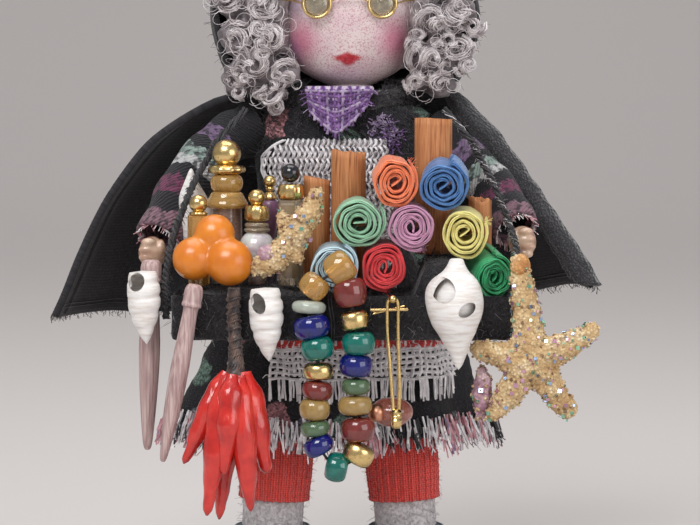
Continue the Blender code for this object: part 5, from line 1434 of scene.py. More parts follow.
def make_hand(word):
    """A small glossy fist with four curled fingers and a thumb."""
    low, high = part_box("hand_" + word)
    centre = (low + high) / 2
    half = (high - low) / 2 / MM
    side = -1 if word == "left" else 1
    form = ball(tuple(half * 0.93), centre, 28, 20)
    for i in range(4):
        up = half.z * (0.62 - 0.42 * i)
        wide = half.x * sqrt(max(1 - (up / half.z) ** 2, 0.2))
        knuckle = centre + Vector((side * wide * 0.25, -half.y * 0.62, up)) * MM
        joined(form, ball((wide * 0.66, half.y * 0.36, half.z * 0.26), knuckle, 20, 14))
    thumb = centre + Vector((-side * half.x * 0.62, -half.y * 0.35, half.z * 0.3)) * MM
    joined(form, ball((half.x * 0.3, half.y * 0.45, half.z * 0.5), thumb, 20, 14))
    piece("fist_" + word, melted(form, 0.11, 5), "glossy_skin", ["hand_" + word])


ANKLE = (6.45, -1, 9.6)
HIP = (5.1, -0.2, 31)
KNEE_CUFF = (2.7, 6.6)


def make_legs():
    """Fuzzy legs with ribbed red knitted cuffs and soft laced boots."""
    chance = Chance(45)
    for word, side in (("left", -1), ("right", 1)):
        low = at(-0.6 + side * ANKLE[0], ANKLE[1], ANKLE[2])
        high = at(-0.6 + side * HIP[0], HIP[1], HIP[2])
        way = (high - low).normalized()
        route = [low + (high - low) * k / 30 for k in range(31)]
        skin = tube_place(route, lambda across, down: 2.95 + 0.1 * drift(
            across * 5, down * 8, side))
        form = capped(closed_tube(48, 60, skin, (18.8, 21)))
        leg = piece("fuzzy_leg_" + word, form, "grey_fluff", ["leg_" + word])
        fluff("leg_fuzz_" + word, scattered(leg, 600, chance, lambda p, n: p.z < 24 * MM),
              "grey_fibre", "grey_felt", 0.55, 0.022, chance, 0.1, 1)
        start = low + way * KNEE_CUFF[0] * MM
        cuff = [start + way * KNEE_CUFF[1] * k / 20 * MM for k in range(21)]

        def ribbed(across, down):
            rib = 0.11 * cos(26 * tau * across) + 0.22 * sin(pi * down)
            row = 0.05 * cos(11 * tau * down + pi * (int(across * 52) % 2))
            edge = exp(-(down / 0.07) ** 2) + exp(-((1 - down) / 0.07) ** 2)
            return 3.22 + rib + row + edge * 0.11

        form = closed_tube(130, 33, tube_place(cuff, ribbed), (22, 6.6))
        knitted = thick(piece("knitted_cuff_" + word, form, "red_knit",
                              ["legging_" + word], 80), 0.35, -1)
        fluff("cuff_fuzz_" + word, scattered(knitted, 450, chance), "red_fibre", "red_knit",
              0.45, 0.02, chance, 0.1, 1)
        make_boot(word, side)


BOOT_STATIONS = (
    (0, 3.13, 4.09, 6.96), (0.5, 3.4, 4.4, 7.4), (1, 3.4, 4.4, 7.4), (2.1, 3.4, 4.4, 7.2),
    (3.65, 3.2, 4.1, 5.6), (4.8, 3.1, 3.7, 3.9), (6.5, 3.3, 3.3, 3.4), (9.6, 3.5, 3.5, 3.5),
)


def make_boot(word, side):
    """A soft ankle boot with a welted sole, a seam and laces."""

    def ring(angle, height, offset=0):
        half, back, front = between(BOOT_STATIONS, height)
        deep = (front if cos(angle) > 0 else back) + offset
        return at(-0.6 + side * ANKLE[0] + (half + offset) * sin(angle),
                  ANKLE[1] - deep * cos(angle), height)

    def place(across, down):
        height = 9.6 * (1 - down)
        point = ring(tau * across, height)
        crease = 0.1 * sin(height * 3.1) * smooth((height - 3) / 2)
        puff = crease + 0.08 * wobble(point, 1.5, 9) if height > 0.6 else 0
        return point + away(tau * across, puff - 0.05)

    form = capped(closed_tube(60, 50, place, (22, 9.6)))
    boot = piece("soft_boot_" + word, form, "boot_leather", ["boot_" + word])
    lines = [([ring(tau * k / 60, height, out) for k in range(61)], size * MM)
             for height, out, size in ((0.75, 0.06, 0.16), (1.05, 0.06, 0.07), (9.5, 0.02, 0.16))]
    strands("boot_welt_" + word, lines, "boot_dark", sides=6)
    laces = []
    for height in (4.6, 5.75, 6.9, 8.05):
        for hand in (-0.42, 0.42):
            route = [ring(-hand, height, 0.08), ring(0, height + 0.5, 0.22),
                     ring(hand, height + 1, 0.08)]
            laces.append((rounded_route(route, 4), 0.1 * MM))
    bow = ring(0, 9, 0.3)
    for hand in (-1, 1):
        for ends in (((0.9, -0.35, 0.45), (1.3, -0.25, -0.1), (0, 0, 0)),
                     ((0.5, -0.3, -0.7), (0.8, -0.1, -1.6))):
            route = [bow] + [bow + Vector((x * hand, y, z)) * MM for x, y, z in ends]
            laces.append((rounded_route(route, 5), 0.1 * MM))
    strands("boot_laces_" + word, laces, "black_thread", sides=6)
    return boot


TRAY_WALL = 0.8


def bed_height(x):
    """The stuffed bed's top over the tray's rim."""
    return (33.2 - 33.3 + 0.5 * (1 - smooth((x + 6.2) / 2.4))
            + 3.2 * smooth((x - 5.9) / 1.6) * (1 - smooth((x - 9.2) / 1.8)))


def make_tray():
    """A shallow tray of matted dark cloth with a soft, stuffed bed and a furry rim."""
    form = bmesh.new()
    bmesh.ops.create_cube(form, size=1)
    middle, span = (TRAY_LOW + TRAY_HIGH) / 2, TRAY_HIGH - TRAY_LOW
    for vertex in form.verts:
        vertex.co = Vector([middle[i] + vertex.co[i] * span[i] for i in range(3)])
    top = [face for face in form.faces if face.normal.z > 0.5]
    bmesh.ops.inset_region(form, faces=top, thickness=TRAY_WALL * MM)
    bmesh.ops.translate(form, vec=(0, 0, -2.9 * MM), verts=list(top[0].verts))
    bmesh.ops.bevel(form, geom=form.edges[:], offset=0.35 * MM, offset_type="OFFSET", segments=4,
                    profile=0.5, affect="EDGES", material=-1)
    for long, cuts in ((1, 20), (0.6, 1)):
        bmesh.ops.subdivide_edges(form, cuts=cuts, use_grid_fill=True, edges=[
            e for e in form.edges if e.calc_length() > long * MM])
    roughened(form, (0.1, 1.1), (0.06, 0.4))
    tray = piece("cloth_tray", form, "tray_felt", ["tray"], 80)
    inner_low = TRAY_LOW + Vector((TRAY_WALL + 0.12, TRAY_WALL + 0.12, 1.5)) * MM
    inner_high = TRAY_HIGH - Vector((TRAY_WALL + 0.12, TRAY_WALL + 0.12, 0)) * MM

    def place(across, down):
        x = inner_low.x + (inner_high.x - inner_low.x) * across
        y = inner_high.y + (inner_low.y - inner_high.y) * down
        edge = min(across, 1 - across, 0.12) / 0.12 * min(down, 1 - down, 0.16) / 0.16
        up = bed_height((x - MIDDLE.x) / MM) - 0.05 - 0.5 * (1 - smooth(edge))
        spot = Vector((x, y, TRAY_HIGH.z + up * MM))
        spot.z += (0.12 * wobble(spot, 1.4, 3) + 0.08 * wobble(spot, 0.5, 5)) * MM
        return spot

    form = grid(90, 28, place, (29, 7.4))
    edges = [edge for edge in form.edges if edge.is_boundary]
    for item in bmesh.ops.extrude_edge_only(form, edges=edges)["geom"]:
        if isinstance(item, bmesh.types.BMVert):
            item.co.z = inner_low.z
    bed = piece("stuffed_bed", capped(form), "tray_felt", ["tray_bed"], 80)
    chance = Chance(46)
    for name, made, count, keep, finish, shape in (
            ("tray_fluff", tray, 1100, lambda p, n: n.y < -0.3 or n.z > 0.5, "wool_fibre",
             (0.8, 0.024, chance, 0.25, 1.1)),
            ("bed_fluff", bed, 900, lambda p, n: n.z > 0.4, "wool_fibre",
             (0.9, 0.028, chance, 0.1, 1.2)),
            ("tray_lint", tray, 260, lambda p, n: n.y < -0.3, "pale_fibre",
             (1, 0.018, chance, 0.5, 1.2))):
        fluff(name, scattered(made, count, chance, keep), finish, "black_cloth", *shape)


def make_straps():
    """Cords of three twisted strands; the right one is shot with silver."""
    chance = Chance(47)
    for word in ("left", "right"):
        node = "strap_" + word
        route = rounded_route(centre_line(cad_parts[node]), 7)
        plies, flecks = [], []
        for ply in range(3):
            for i in range(5):
                points = []
                for k, spot in enumerate(route):
                    side, front = crosswise(route, k, Vector((0, -1, 0.1)))
                    turn = tau * (ply / 3 + k / 7.5)
                    inner = turn * 2.2 + tau * i / 4
                    small = 0.125 if i < 4 else 0
                    points.append(spot + ((side * cos(turn) + front * sin(turn)) * 0.205
                                          + (side * cos(inner) + front * sin(inner)) * small) * MM)
                silver = word == "right" and ply == 0 and i in (1, 3)
                (flecks if silver else plies).append((points, (0.05 if silver else 0.08) * MM))
        strands("cord_" + word, plies, "black_thread", [node])
        if flecks:
            strands("cord_silver", flecks, "silver_thread")
        fuzz = []
        for _ in range(240):
            spot = route[chance.randrange(1, len(route) - 1)]
            way = chance.shift(1).normalized()
            fuzz.append(([spot + way * 0.25 * MM, spot + way * 0.5 * MM,
                          spot + (way * 0.75 + Vector((0.1, -0.1, -0.15))) * MM], 0.02 * MM))
        strands("cord_fuzz_" + word, fuzz, "wool_fibre" if word == "left" else "pale_fibre")


def centre_line(solid, steps=14):
    """The middle of a cord's solid at even heights, from its top down."""
    points = [vertex.co for vertex in solid.data.vertices]
    low = min(point.z for point in points)
    high = max(point.z for point in points)
    line = []
    for k in range(steps):
        height = high + (low - high) * (0.03 + 0.94 * k / (steps - 1))
        near = [point for point in points if abs(point.z - height) < (high - low) / steps]
        line.append(sum(near, Vector()) / len(near))
    return line


# How far each roll leans forward and turns aside, where its ribbon starts and its core's lean
# in degrees, then its half width and half height
ROLLS = {
    "roll_light_blue": (4, 0, 100, 20, 2.28, 2.28),
    "roll_red": (4, 0, 310, 85, 2.15, 2.24),
    "roll_dark_green": (13, 14, 120, 60, 1.75, 2.15),
    "roll_pale_green": (3, 0, 70, 5, 2.42, 2.36),
    "roll_mauve": (3, 0, 330, 100, 2.15, 2.16),
    "roll_yellow": (5, -4, 60, 35, 2.16, 2.4),
    "roll_orange": (6, 3, 80, 35, 2.06, 2.34),
    "roll_blue": (9, -3, 110, 40, 2.34, 2.3),
}
RIBBON = 0.15
RIBBON_TURNS = 3.9
RIBBON_CORE = 0.27
RIBBON_CORDS = 3


def make_roll(name):
    """A ribbon of threads wound into a rose, its inner end lying across the open core."""
    lean, yaw, start, core, wide, tall = ROLLS[name]
    centre, span = middle_of(name)
    depth = span.y / MM
    seed = sum(map(ord, name)) * 0.37
    turn = Matrix.Rotation(radians(lean), 3, "X") @ Matrix.Rotation(radians(yaw), 3, "Z")
    last = radians(core)
    first = last + RIBBON_TURNS * tau + radians((start - core) % 360)
    tongue = 0.92

    def place(across, down, shift=0, out=0):
        share = min(across / tongue, 1)
        angle = first + (last - first) * share
        reach = 1 - (1 - RIBBON_CORE) * share ** 0.96
        reach *= 1 + 0.1 * drift(cos(angle) * 1.6, sin(angle) * 1.6, share * 7 + seed)
        x = (reach * (wide - RIBBON / 2) + shift) * cos(angle)
        z = (reach * (tall - RIBBON / 2) + shift) * sin(angle)
        if across > tongue:
            back = (across - tongue) / (1 - tongue)
            x, z = x * (1 - 1.7 * back), z * (1 - 1.7 * back)
            x += 0.14 * sin(back * pi) * sin(angle)
        recess = 0.55 * max(1 - reach, 0) ** 1.4 + 0.45 * smooth((reach - 0.72) / 0.3)
        recess += 0.26 * drift(angle * 0.9, seed)
        local = Vector((x, -depth / 2 + recess - out + down * (depth - recess), z))
        return centre + turn @ local * MM

    form = grid(140, 5, place, (RIBBON_TURNS * tau * wide * 0.66, depth))
    ribbon = thick(piece(name + "_ribbon", form, name, [name]), RIBBON, 0)
    chance = Chance(int(seed))
    lines = []
    for i in range(RIBBON_CORDS):
        aside = (i / (RIBBON_CORDS - 1) - 0.5) * RIBBON
        lines.append(([place(k / 130, 0, aside + 0.05 * drift(k * 0.16, i, seed),
                             0.04 + 0.1 * cos(i * 2.4 + k * 0.5)) for k in range(131)],
                      0.08 * MM))
    for _ in range(26):
        across = chance.choice((0, 0, chance.random()))
        foot = place(across, chance.uniform(0, 0.3), RIBBON * 0.4)
        way = chance.shift(0.7)
        lines.append((bent(foot, way, 0.7, Vector((0.14, -0.21, 0.07))), 0.024 * MM))
    strands(name + "_cords", lines, name)
    return ribbon


STICKS = {
    "cinnamon_stick_a": (0.1, 0.16), "cinnamon_stick_b": (0.45, 0.1),
    "cinnamon_stick_c": (0.1, 0.06), "cinnamon_stick_d": (0.55, 0.05),
}
BARK = 0.34


def make_stick(name):
    """A strip of bark curled into a quill, with a torn top."""
    torn, lean = STICKS[name]
    centre, span = middle_of(name)
    foot = centre - Vector((0, 0, span.z / 2))
    radius = span.x / 2 / MM - BARK / 2
    tall = span.z / MM
    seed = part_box(name)[0].x / MM

    def place(across, down):
        angle = radians(-250 + 500 * across)
        curl = 1 - max(across - 0.7, 0) - 0.9 * max(0.2 - across, 0)
        reach = radius * curl + 0.05 * drift(across * 22, down * 1.2, seed)
        jag = torn * abs(drift(across * 7, seed)) + lean * sin(angle)
        top = tall - 0.2 - jag * (1 - down) ** 4 * 1.4
        return foot + Vector((sin(angle) * reach, -cos(angle) * reach, top * (1 - down))) * MM

    quill = piece(name + "_bark", grid(90, 18, place, (10, tall)), "cinnamon_bark",
                  [name], 50)
    return thick(quill, BARK, 0)


BEADS = (
    (-0.45, 1.7, 2.45, 1.45, 1.25, "amber_glass"), (-2.75, 1.55, 0.8, 1.3, 1.05, "amber_glass"),
    (-3.2, 1.65, -1.05, 1.5, 0.6, "pale_jade"), (-2.95, 1.8, -2.8, 1.6, 1.05, "cobalt"),
    (-2.45, 1.8, -4.7, 1.45, 1.05, "teal_glass"), (-2.35, 1.8, -6.75, 1.3, 0.75, "gilt"),
    (-2.45, 1.8, -8.45, 1.35, 0.85, "maroon"), (-2.7, 1.8, -10.15, 1.35, 0.95, "honey"),
    (-2.65, 1.8, -11.85, 1.3, 0.7, "sage"), (-2.35, 1.8, -13.4, 1.35, 0.85, "cobalt"),
    (-0.75, 1.8, -15.35, 1.3, 1, "teal_glass"), (1.2, 1.8, -14.15, 1.38, 0.95, "gilt"),
    (1.15, 1.8, -11.95, 1.48, 1.1, "maroon"), (0.9, 1.8, -9.8, 1.5, 0.85, "honey"),
    (0.98, 1.8, -8.1, 1.25, 0.72, "sage"), (0.98, 1.8, -6.25, 1.45, 1, "cobalt"),
    (1.22, 1.8, -4.25, 1.45, 1.05, "teal_glass"), (0.8, 1.75, -2.2, 1.28, 0.85, "gilt"),
    (0.45, 1.7, 0.25, 1.45, 1.3, "maroon"),
)


def make_beads():
    """Nineteen glass beads on one thread, hole to hole."""
    places = [hanging(x, out, up) for x, out, up, *_ in BEADS]
    hues = sorted({bead[-1] for bead in BEADS})
    form = bmesh.new()
    for i, (_, _, _, radius, half, hue) in enumerate(BEADS):
        way = places[min(i + 1, len(places) - 1)] - places[max(i - 1, 0)]
        fullness = 0.42 if hue == "gilt" else 0.55
        outline = ring_profile(radius * 1.03, 0.3 * radius, 0, half * 0.98, 12, fullness)
        joined(form, spun(outline, 32, ring=True), along(places[i], way), hues.index(hue))
    beads = piece("glass_beads", form, hues, ["bead_string"], 80)
    thread = rounded_route([hanging(-0.1, 0.6, 3.4), *places, hanging(0.3, 0.5, 1.6)], 3)
    loose = [hanging(*knot) for knot in ((-1.5, 1, 0.9), (-1.45, 1.3, -0.8), (-1.2, 1.4, -2.6),
                                         (-1.25, 1.2, -4.3))]
    beside = [knot + Vector((0.25, 0, 0.1)) * MM for knot in loose]
    strands("bead_thread", [(thread, 0.16 * MM), (rounded_route(loose, 6), 0.07 * MM),
                            (rounded_route(beside, 6), 0.05 * MM)], "black_thread")
    return beads


def make_pin():
    """A looped gold pin with its bar and crimp, and the rose glass bead behind it."""
    wires = (
        ((3.75, 1.2, -1.3), (3.78, 1.2, -3.5), (3.98, 1.25, -6), (4.18, 1.2, -8.6),
         (4.38, 1.2, -11)),
        ((4.75, 1.2, -1.3), (4.74, 1.2, -3.5), (4.8, 1.15, -6), (4.86, 1.2, -8.6),
         (4.76, 1.2, -11)),
        ((3.75, 1.2, -1.4), (3.8, 1.2, -0.6), (4.25, 1.3, -0.2), (4.68, 1.2, -0.6),
         (4.75, 1.2, -1.4)),
    )
    lines = [(rounded_route([hanging(*knot) for knot in wire], 8), 0.17 * MM) for wire in wires]
    lines.append(([hanging(2.3, 1.15, -1.35), hanging(5.6, 1.15, -1.3)], 0.15 * MM))
    lines.append(([hanging(2.5, 1, -1.7), hanging(5.3, 1, -1)], 0.1 * MM))
    form = strands_form("pin_wires", lines, 10)
    crimp = spun([(0, 0.95), (0.3, 0.9), (0.52, 0.6), (0.44, 0.45), (0.56, 0.25), (0.46, 0.08),
                  (0.58, -0.12), (0.46, -0.3), (0.5, -0.5), (0.3, -0.85), (0, -0.9)], 24)
    joined(form, crimp, Matrix.Translation(hanging(4.58, 1.2, -11.1)))
    knob = spun(ball_profile(0.36, 0), 20)
    joined(form, knob, Matrix.Translation(hanging(4.25, 1.45, -0.35)))
    piece("gold_pin", tidied(form), "gilt", ["pin"])
    bead = spun(eased([(0, 1.25), (0.9, 1.2), (1.75, 0.6), (1.95, 0), (1.75, -0.6),
                       (0.9, -1.2), (0, -1.25)]), 32)
    form = joined(bmesh.new(), bead, Matrix.Translation(hanging(4.2, -1, -10.75)))
    joined(form, spun(ball_profile(0.82, 0), 24),
           Matrix.Translation(hanging(2.85, 0.2, -10.7)), 1)
    piece("rose_bead", form, ["rose_glass", "copper"], ["pin_bead"], 80)


# Each bottle's height and its turned forms from the top down, as finish and outline
BOTTLES = {
    "bottle_tall": (13.2, (
        ("gilt", ball_profile(1.32, 11.85)),
        ("gilt", eased([(0, 10.85), (1.2, 10.8), (1.62, 10.55), (1.64, 10.2), (1.2, 10),
                        (0, 9.95)], 3)),
        ("amber_glass", ring_profile(1.52, 0.5, 9.15, 0.85)),
        ("amber_glass", eased([(0, 8.5), (1.3, 8.35), (1.6, 7.9), (1.95, 7.35), (1.95, 7),
                               (1.6, 6.8), (0, 6.75)], 3)),
        ("smoke_glass", eased([(0, 7), (1.25, 6.95), (1.42, 6.5), (1.42, 0.5), (1.2, 0.05),
                               (0, 0)], 3)))),
    "bottle_small": (8.2, (
        ("gilt", ball_profile(0.84, 7.35)),
        ("gilt", ring_profile(0.8, 0.3, 6.45, 0.22)),
        ("amber_glass", eased([(0, 6.2), (0.85, 6.15), (1, 5.8), (1, 0.5), (0.8, 0),
                               (0, 0)], 3)))),
    "bottle_pearl": (8.7, (
        ("gilt", ball_profile(0.78, 7.9)),
        ("gilt", eased([(0, 7.3), (0.75, 7.2), (1.02, 6.9), (1.08, 6.3), (0.95, 5.8),
                        (0, 5.7)], 3)),
        ("clear_glass", ring_profile(1.12, 0.4, 5.4, 0.28)),
        ("clear_glass", ring_profile(1.2, 0.4, 4.95, 0.26)),
        ("pearl", ball_profile(1.64, 3.35, 18)),
        ("smoke_glass", eased([(0, 2.2), (0.7, 2), (0.8, 1.4), (0.8, 0), (0, 0)], 2)))),
    "bottle_purple": (9.9, (
        ("gilt", ball_profile(0.6, 9.25)),
        ("gilt", ring_profile(0.42, 0.1, 8.6, 0.2)),
        ("gilt", eased([(0, 8.4), (0.34, 8.3), (0.6, 7.9), (0.56, 7.6), (0, 7.5)], 3)),
        ("plum_glass", eased([(0, 7.6), (0.62, 7.5), (0.84, 6.7), (0.72, 5.4), (0.4, 3.6),
                              (0.28, 2.4), (0.28, 0), (0, 0)], 3)))),
    "bottle_black_top": (11.1, (
        ("jet", ball_profile(0.86, 10.15)),
        ("gilt", ring_profile(1.14, 0.4, 8.45, 0.75, 8, 0.3)),
        ("clear_glass", eased([(0, 7.5), (0.9, 7.45), (1.14, 7.1), (1.16, 0.6), (0.9, 0),
                               (0, 0)], 3)),
        ("honey", eased([(0, 7.2), (0.55, 7.1), (0.6, 6.6), (0.6, 1), (0, 0.9)], 2)))),
}
RIBBED = 0.05


def make_bottle(name):
    """Beads, rings and glass stacked into a little stoppered bottle."""
    tall, stack = BOTTLES[name]
    centre, span = middle_of(name)
    foot = centre + Vector((0, 0, span.z / 2 - tall * MM))
    hues = sorted({hue for hue, _ in stack})
    form = bmesh.new()
    for i, (hue, outline) in enumerate(stack):
        turned = spun(outline, 40)
        if hue == "gilt" and i > 0:
            reshaped(turned, lambda angle, up: 1 + RIBBED * cos(10 * angle))
        joined(form, turned, Matrix.Translation(foot), hues.index(hue))
    return piece(name + "_beads", form, hues, [name])


def make_oranges():
    """Three oranges of tinted resin, run together where they touch."""
    fruit = (((-13.6, 1.5, 3.05), 1.97), ((-10.35, 0.9, 2.75), 2.14), ((-11.75, 2.1, 5.2), 1.86))
    form = bmesh.new()
    for place, radius in fruit:
        joined(form, ball((radius, radius, radius), ware(*place)))
    joined(form, ball((1.3, 1.1, 1.3), ware(-11.9, 1.6, 3.6)))
    piece("three_oranges", melted(form, 0.2, 6), "orange_resin", ["oranges"])


def whorl_profile(radius, length, whorls, steps=9, swell=0.09):
    """Down a whorled shell: full whorls that narrow to its point."""
    outline = [(0, 0)]
    total = whorls * steps
    for i in range(1, total + 1):
        share = i / total
        full = radius * sin(pi * min(0.27 + 0.73 * share, 1)) ** 0.85
        bulge = 1 - swell * abs(cos(pi * whorls * share ** 0.85)) ** 6
        outline.append((max(full * bulge, 0.03), -length * share))
    outline.append((0, -length - 0.02))
    return outline


def sheared(form, whorls, length):
    """Leans the whorls so that their seams run round the shell in a slope."""
    for vertex in form.verts:
        angle = atan2(vertex.co.y, vertex.co.x)
        share = min(max(-vertex.co.z / (length * MM), 0), 1)
        vertex.co.z += (angle / tau) * length / whorls * 0.55 * MM * sin(pi * share)
    return form


def opened(form, holes):
    """A thin-walled shell with rounded openings cut through its front wall."""
    guide = linked("shell", ended("shell", form))
    wall = guide.modifiers.new("wall", "SOLIDIFY")
    wall.thickness = 0.26 * MM
    wall.offset = -1
    cutters = []
    for place, wide, high, lean, deep in holes:
        cutter = bmesh.new()
        bmesh.ops.create_cone(cutter, cap_ends=True, segments=36, radius1=MM, radius2=MM,
                              depth=deep * MM)
        shape = (Matrix.Translation(place) @ Matrix.Rotation(radians(lean), 4, "Y")
                 @ Matrix.Diagonal((wide, 1, high, 1)) @ Matrix.Rotation(pi / 2, 4, "X"))
        bmesh.ops.transform(cutter, matrix=shape, verts=cutter.verts)
        cutters.append(linked("hole", ended("hole", outward(cutter))))
        cut = guide.modifiers.new("hole", "BOOLEAN")
        cut.object = cutters[-1]
        cut.operation = "DIFFERENCE"
        cut.solver = "EXACT"
    return settled(guide, *cutters)


def make_shells():
    """A big pierced shell, two small whorled ones and a pointed one in the tray."""
    big = spun(eased([(0, 3.15), (0.55, 3.1), (0.78, 2.6), (1.15, 2), (1.95, 1.2), (2.4, 0.1),
                      (2.5, -1.2), (2.12, -2.6), (1.3, -4.2), (0.74, -5.4), (0.36, -6.3),
                      (0, -6.75)], 5), 64)
    for vertex in big.verts:
        up = vertex.co.z / MM
        vertex.co.x += (0.1 * smooth((up - 0.5) / 2.5) + 0.3 * smooth((-up - 2) / 4.5)) * MM
    reshaped(big, lambda angle, up: (
        (1 + 0.16 * max(cos(angle - 2.6), 0) ** 3 * exp(-((up - 0.6) / 1.5) ** 2))
        * (1 + 0.018 * cos(tau * (up * 0.55 + angle / tau)) * smooth((-up - 1.5) / 2))))
    place = hanging(9.75, 2.6, 0.2)
    bmesh.ops.translate(big, vec=place, verts=big.verts)
    big = opened(big, ((place + Vector((-1.1, -2.2, 0.45)) * MM, 1.02, 1.14, -14, 2.4),
                       (place + Vector((0.95, -2.1, -1.25)) * MM, 0.85, 0.56, -36, 2.2)))
    core = spun(eased([(0, 1.9), (0.9, 1.5), (1.8, 0.3), (2, -1.2), (1.3, -3), (0.5, -5),
                       (0, -5.6)]), 32)
    joined(big, core, Matrix.Translation(place + Vector((0.1, 0.3, 0)) * MM))
    piece("pierced_shell", tidied(big), "shell_white", ["shell_big"], 50)
    for name, node, radius, hole, size in (
            ("hanging_shell", "shell_small", 1.55, (-0.55, -1.25, -1.35), (0.62, 0.95, -18)),
            ("left_shell", "shell_left", 1.5, (-0.45, -1.1, -0.95), (0.7, 0.85, 25))):
        centre, span = middle_of(node)
        top = centre + Vector((0, 0, span.z / 2 + 0.1 * MM))
        form = sheared(spun(whorl_profile(radius, 6.6, 5), 56), 5, 6.6)
        bmesh.ops.transform(form, matrix=Matrix.Translation(top)
                            @ Matrix.Rotation(radians(-3), 4, "Y"), verts=form.verts)
        form = opened(form, ((top + Vector(hole) * MM, *size, 1.8),))
        piece(name, tidied(form), "shell_white", [node], 50)
    centre, span = middle_of("shell_tall")
    form = ball((1.55, 0.75, 5.3), centre + Vector((0.1, 0.5, 0)) * MM, 40, 30)
    for vertex in form.verts:
        up = (vertex.co.z - centre.z) / span.z + 0.5
        narrow = 1 - 0.55 * smooth((up - 0.72) / 0.3)
        vertex.co.x = centre.x + (vertex.co.x - centre.x) * narrow + 0.35 * MM * sin(up * 5)
        vertex.co.y -= (up - 0.5) * 0.6 * MM
    piece("shell_shard", form, "shell_white", ["shell_tall"], 50)


def make_spines():
    """Two sea-urchin spines: a rounded head, a collar and a long tapering shaft."""
    for word, girth, head, tip in (
            ("a", 0.98, (-0.85, -0.4, -0.4), (0.62, -0.9, 0.2)),
            ("b", 0.86, (-0.72, -0.7, -0.3), (0.28, 0.3, 0.1))):
        node = "urchin_spine_" + word
        low, high = [corner.copy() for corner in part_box(node)]
        if word == "a":
            low.y = high.y = (low.y + high.y) / 2
        head, tip = high + Vector(head) * MM, low + Vector(tip) * MM
        length = (tip - head).length / MM
        outline = [(0, 0), (0.62, -0.06), (0.92, -0.45), (0.98, -1.1), (0.96, -1.6),
                   (1.03, -1.85), (0.98, -2.05), (0.76, -2.4), (0.84, -5), (0.95, -8.2),
                   (0.8, -12), (0.5, -length + 1.4), (0.3, -length + 0.2), (0, -length)]
        form = spun(eased([(radius * girth, up) for radius, up in outline]), 48)
        reshaped(form, lambda angle, up: 1 + 0.028 * smooth((-up - 2.2) / 0.6) * cos(16 * angle))
        bmesh.ops.transform(form, matrix=along(head, head - tip), verts=form.verts)
        piece("spine_" + word, form, "urchin_mauve", [node], 50)


# Chilli peppers: where each leaves the tie and where its tip hangs, then girth
PEPPERS = (
    ((-10.5, 2.4, -6.8), (-14.3, 2.9, -14.9), 1.02), ((-10.4, 3.4, -7), (-12.2, 4.2, -19.3), 1.2),
    ((-9.8, 2.2, -7.4), (-11.2, 2.4, -19.9), 1.1), ((-9.4, 3.5, -7), (-8.3, 4.3, -18.9), 1.2),
    ((-9, 2.5, -6.8), (-6.9, 3.1, -15.7), 1.32), ((-9.9, 4, -6.8), (-10.6, 5, -15.5), 1.05),
)


def make_peppers():
    """Glossy chilli peppers hung in a bunch from a bound stem."""
    lines = []
    for i, (start, tip, girth) in enumerate(PEPPERS):
        head, end = hanging(*start), hanging(*tip)
        belly = head.lerp(end, 0.45) + Vector((0, -0.45, 0)) * MM
        points = rounded_route([head, belly, end], 14)
        radii = []
        for k in range(len(points)):
            share = k / (len(points) - 1)
            shape = (0.5 + 0.5 * smooth(share / 0.22)) * (1 - 0.62 * smooth((share - 0.5) / 0.5))
            shape *= sqrt(max(1 - (max(share - 0.93, 0) / 0.072) ** 2, 0))
            wave = 1 + 0.06 * sin(share * 19 + i * 2)
            radii.append(max(girth * shape * wave, 0.02) * MM)
        lines.append((points, radii))
    form = roughened(tidied(strands_form("peppers", lines, 20)), (0.1, 1.4), (0.03, 0.5))
    piece("chilli_peppers", form, "pepper_skin", ["pepper_bunch"], 80)
    chance = Chance(5)
    stem = rounded_route([hanging(-9.9, 0.95, 0.6), hanging(-9.9, 1.1, -2),
                          hanging(-9.7, 1.9, -4.6), hanging(-9.7, 2.7, -7.4)], 8)
    lines = [(stem, [(0.42 + 0.1 * (k % 3) + 0.35 * smooth((k - 16) / 8)) * MM
                     for k in range(len(stem))])]
    for i in range(16):
        turn, reach = tau * i / 16, chance.uniform(0.35, 0.95)
        line = [place + away(pi / 2 - turn - 0.25 * k, 0.45 + 0.3 * smooth((k - 14) / 10))
                for k, place in enumerate(stem)]
        line.append(line[-1] + Vector((0.9 * cos(turn), -0.5, -1.5 * reach)) * MM)
        lines.append((line, chance.uniform(0.07, 0.13) * MM))
    for i in range(9):
        knot = stem[min(3 + int(i * 2.2), len(stem) - 1)]
        ring = [knot + Vector((cos(a) * 0.62, -sin(a) * 0.62, 0.16 * sin(a * 2))) * MM
                for a in [tau * j / 12 for j in range(13)]]
        lines.append((ring, 0.08 * MM))
    strands("pepper_stem", lines, "stem_brown", sides=6)


STAR_MIDDLE = (16.55, 1.45, -6)
STAR_TIPS = ((15.5, 2.9), (21.9, -3.3), (19.9, -10.3), (13.3, -10.6), (12, -4.9))
SMALL_STAR = (
    ((-8, 0.55, 2.3), (-6.4, 0.6, 3), (-4.6, 0.7, 5), (-3.4, 0.7, 7), (-2.75, 0.9, 8.7)),
    ((-4.6, 0.7, 5), (-5.7, 1.2, 6.9)),
    ((-4.6, 0.7, 5), (-4.1, 0.5, 3.2)),
)


def arm_of_balls(form, points, radii, count=16):
    """A tapering arm as a row of overlapping balls."""
    route = rounded_route(points, max(count // (len(points) - 1), 2))
    last = len(route) - 1
    for k, place in enumerate(route):
        share = k / last * (len(radii) - 1)
        step = min(int(share), len(radii) - 2)
        radius = radii[step] + (radii[step + 1] - radii[step]) * (share - step)
        joined(form, ball((radius, radius * 0.8, radius), place, 14, 10))
    return form


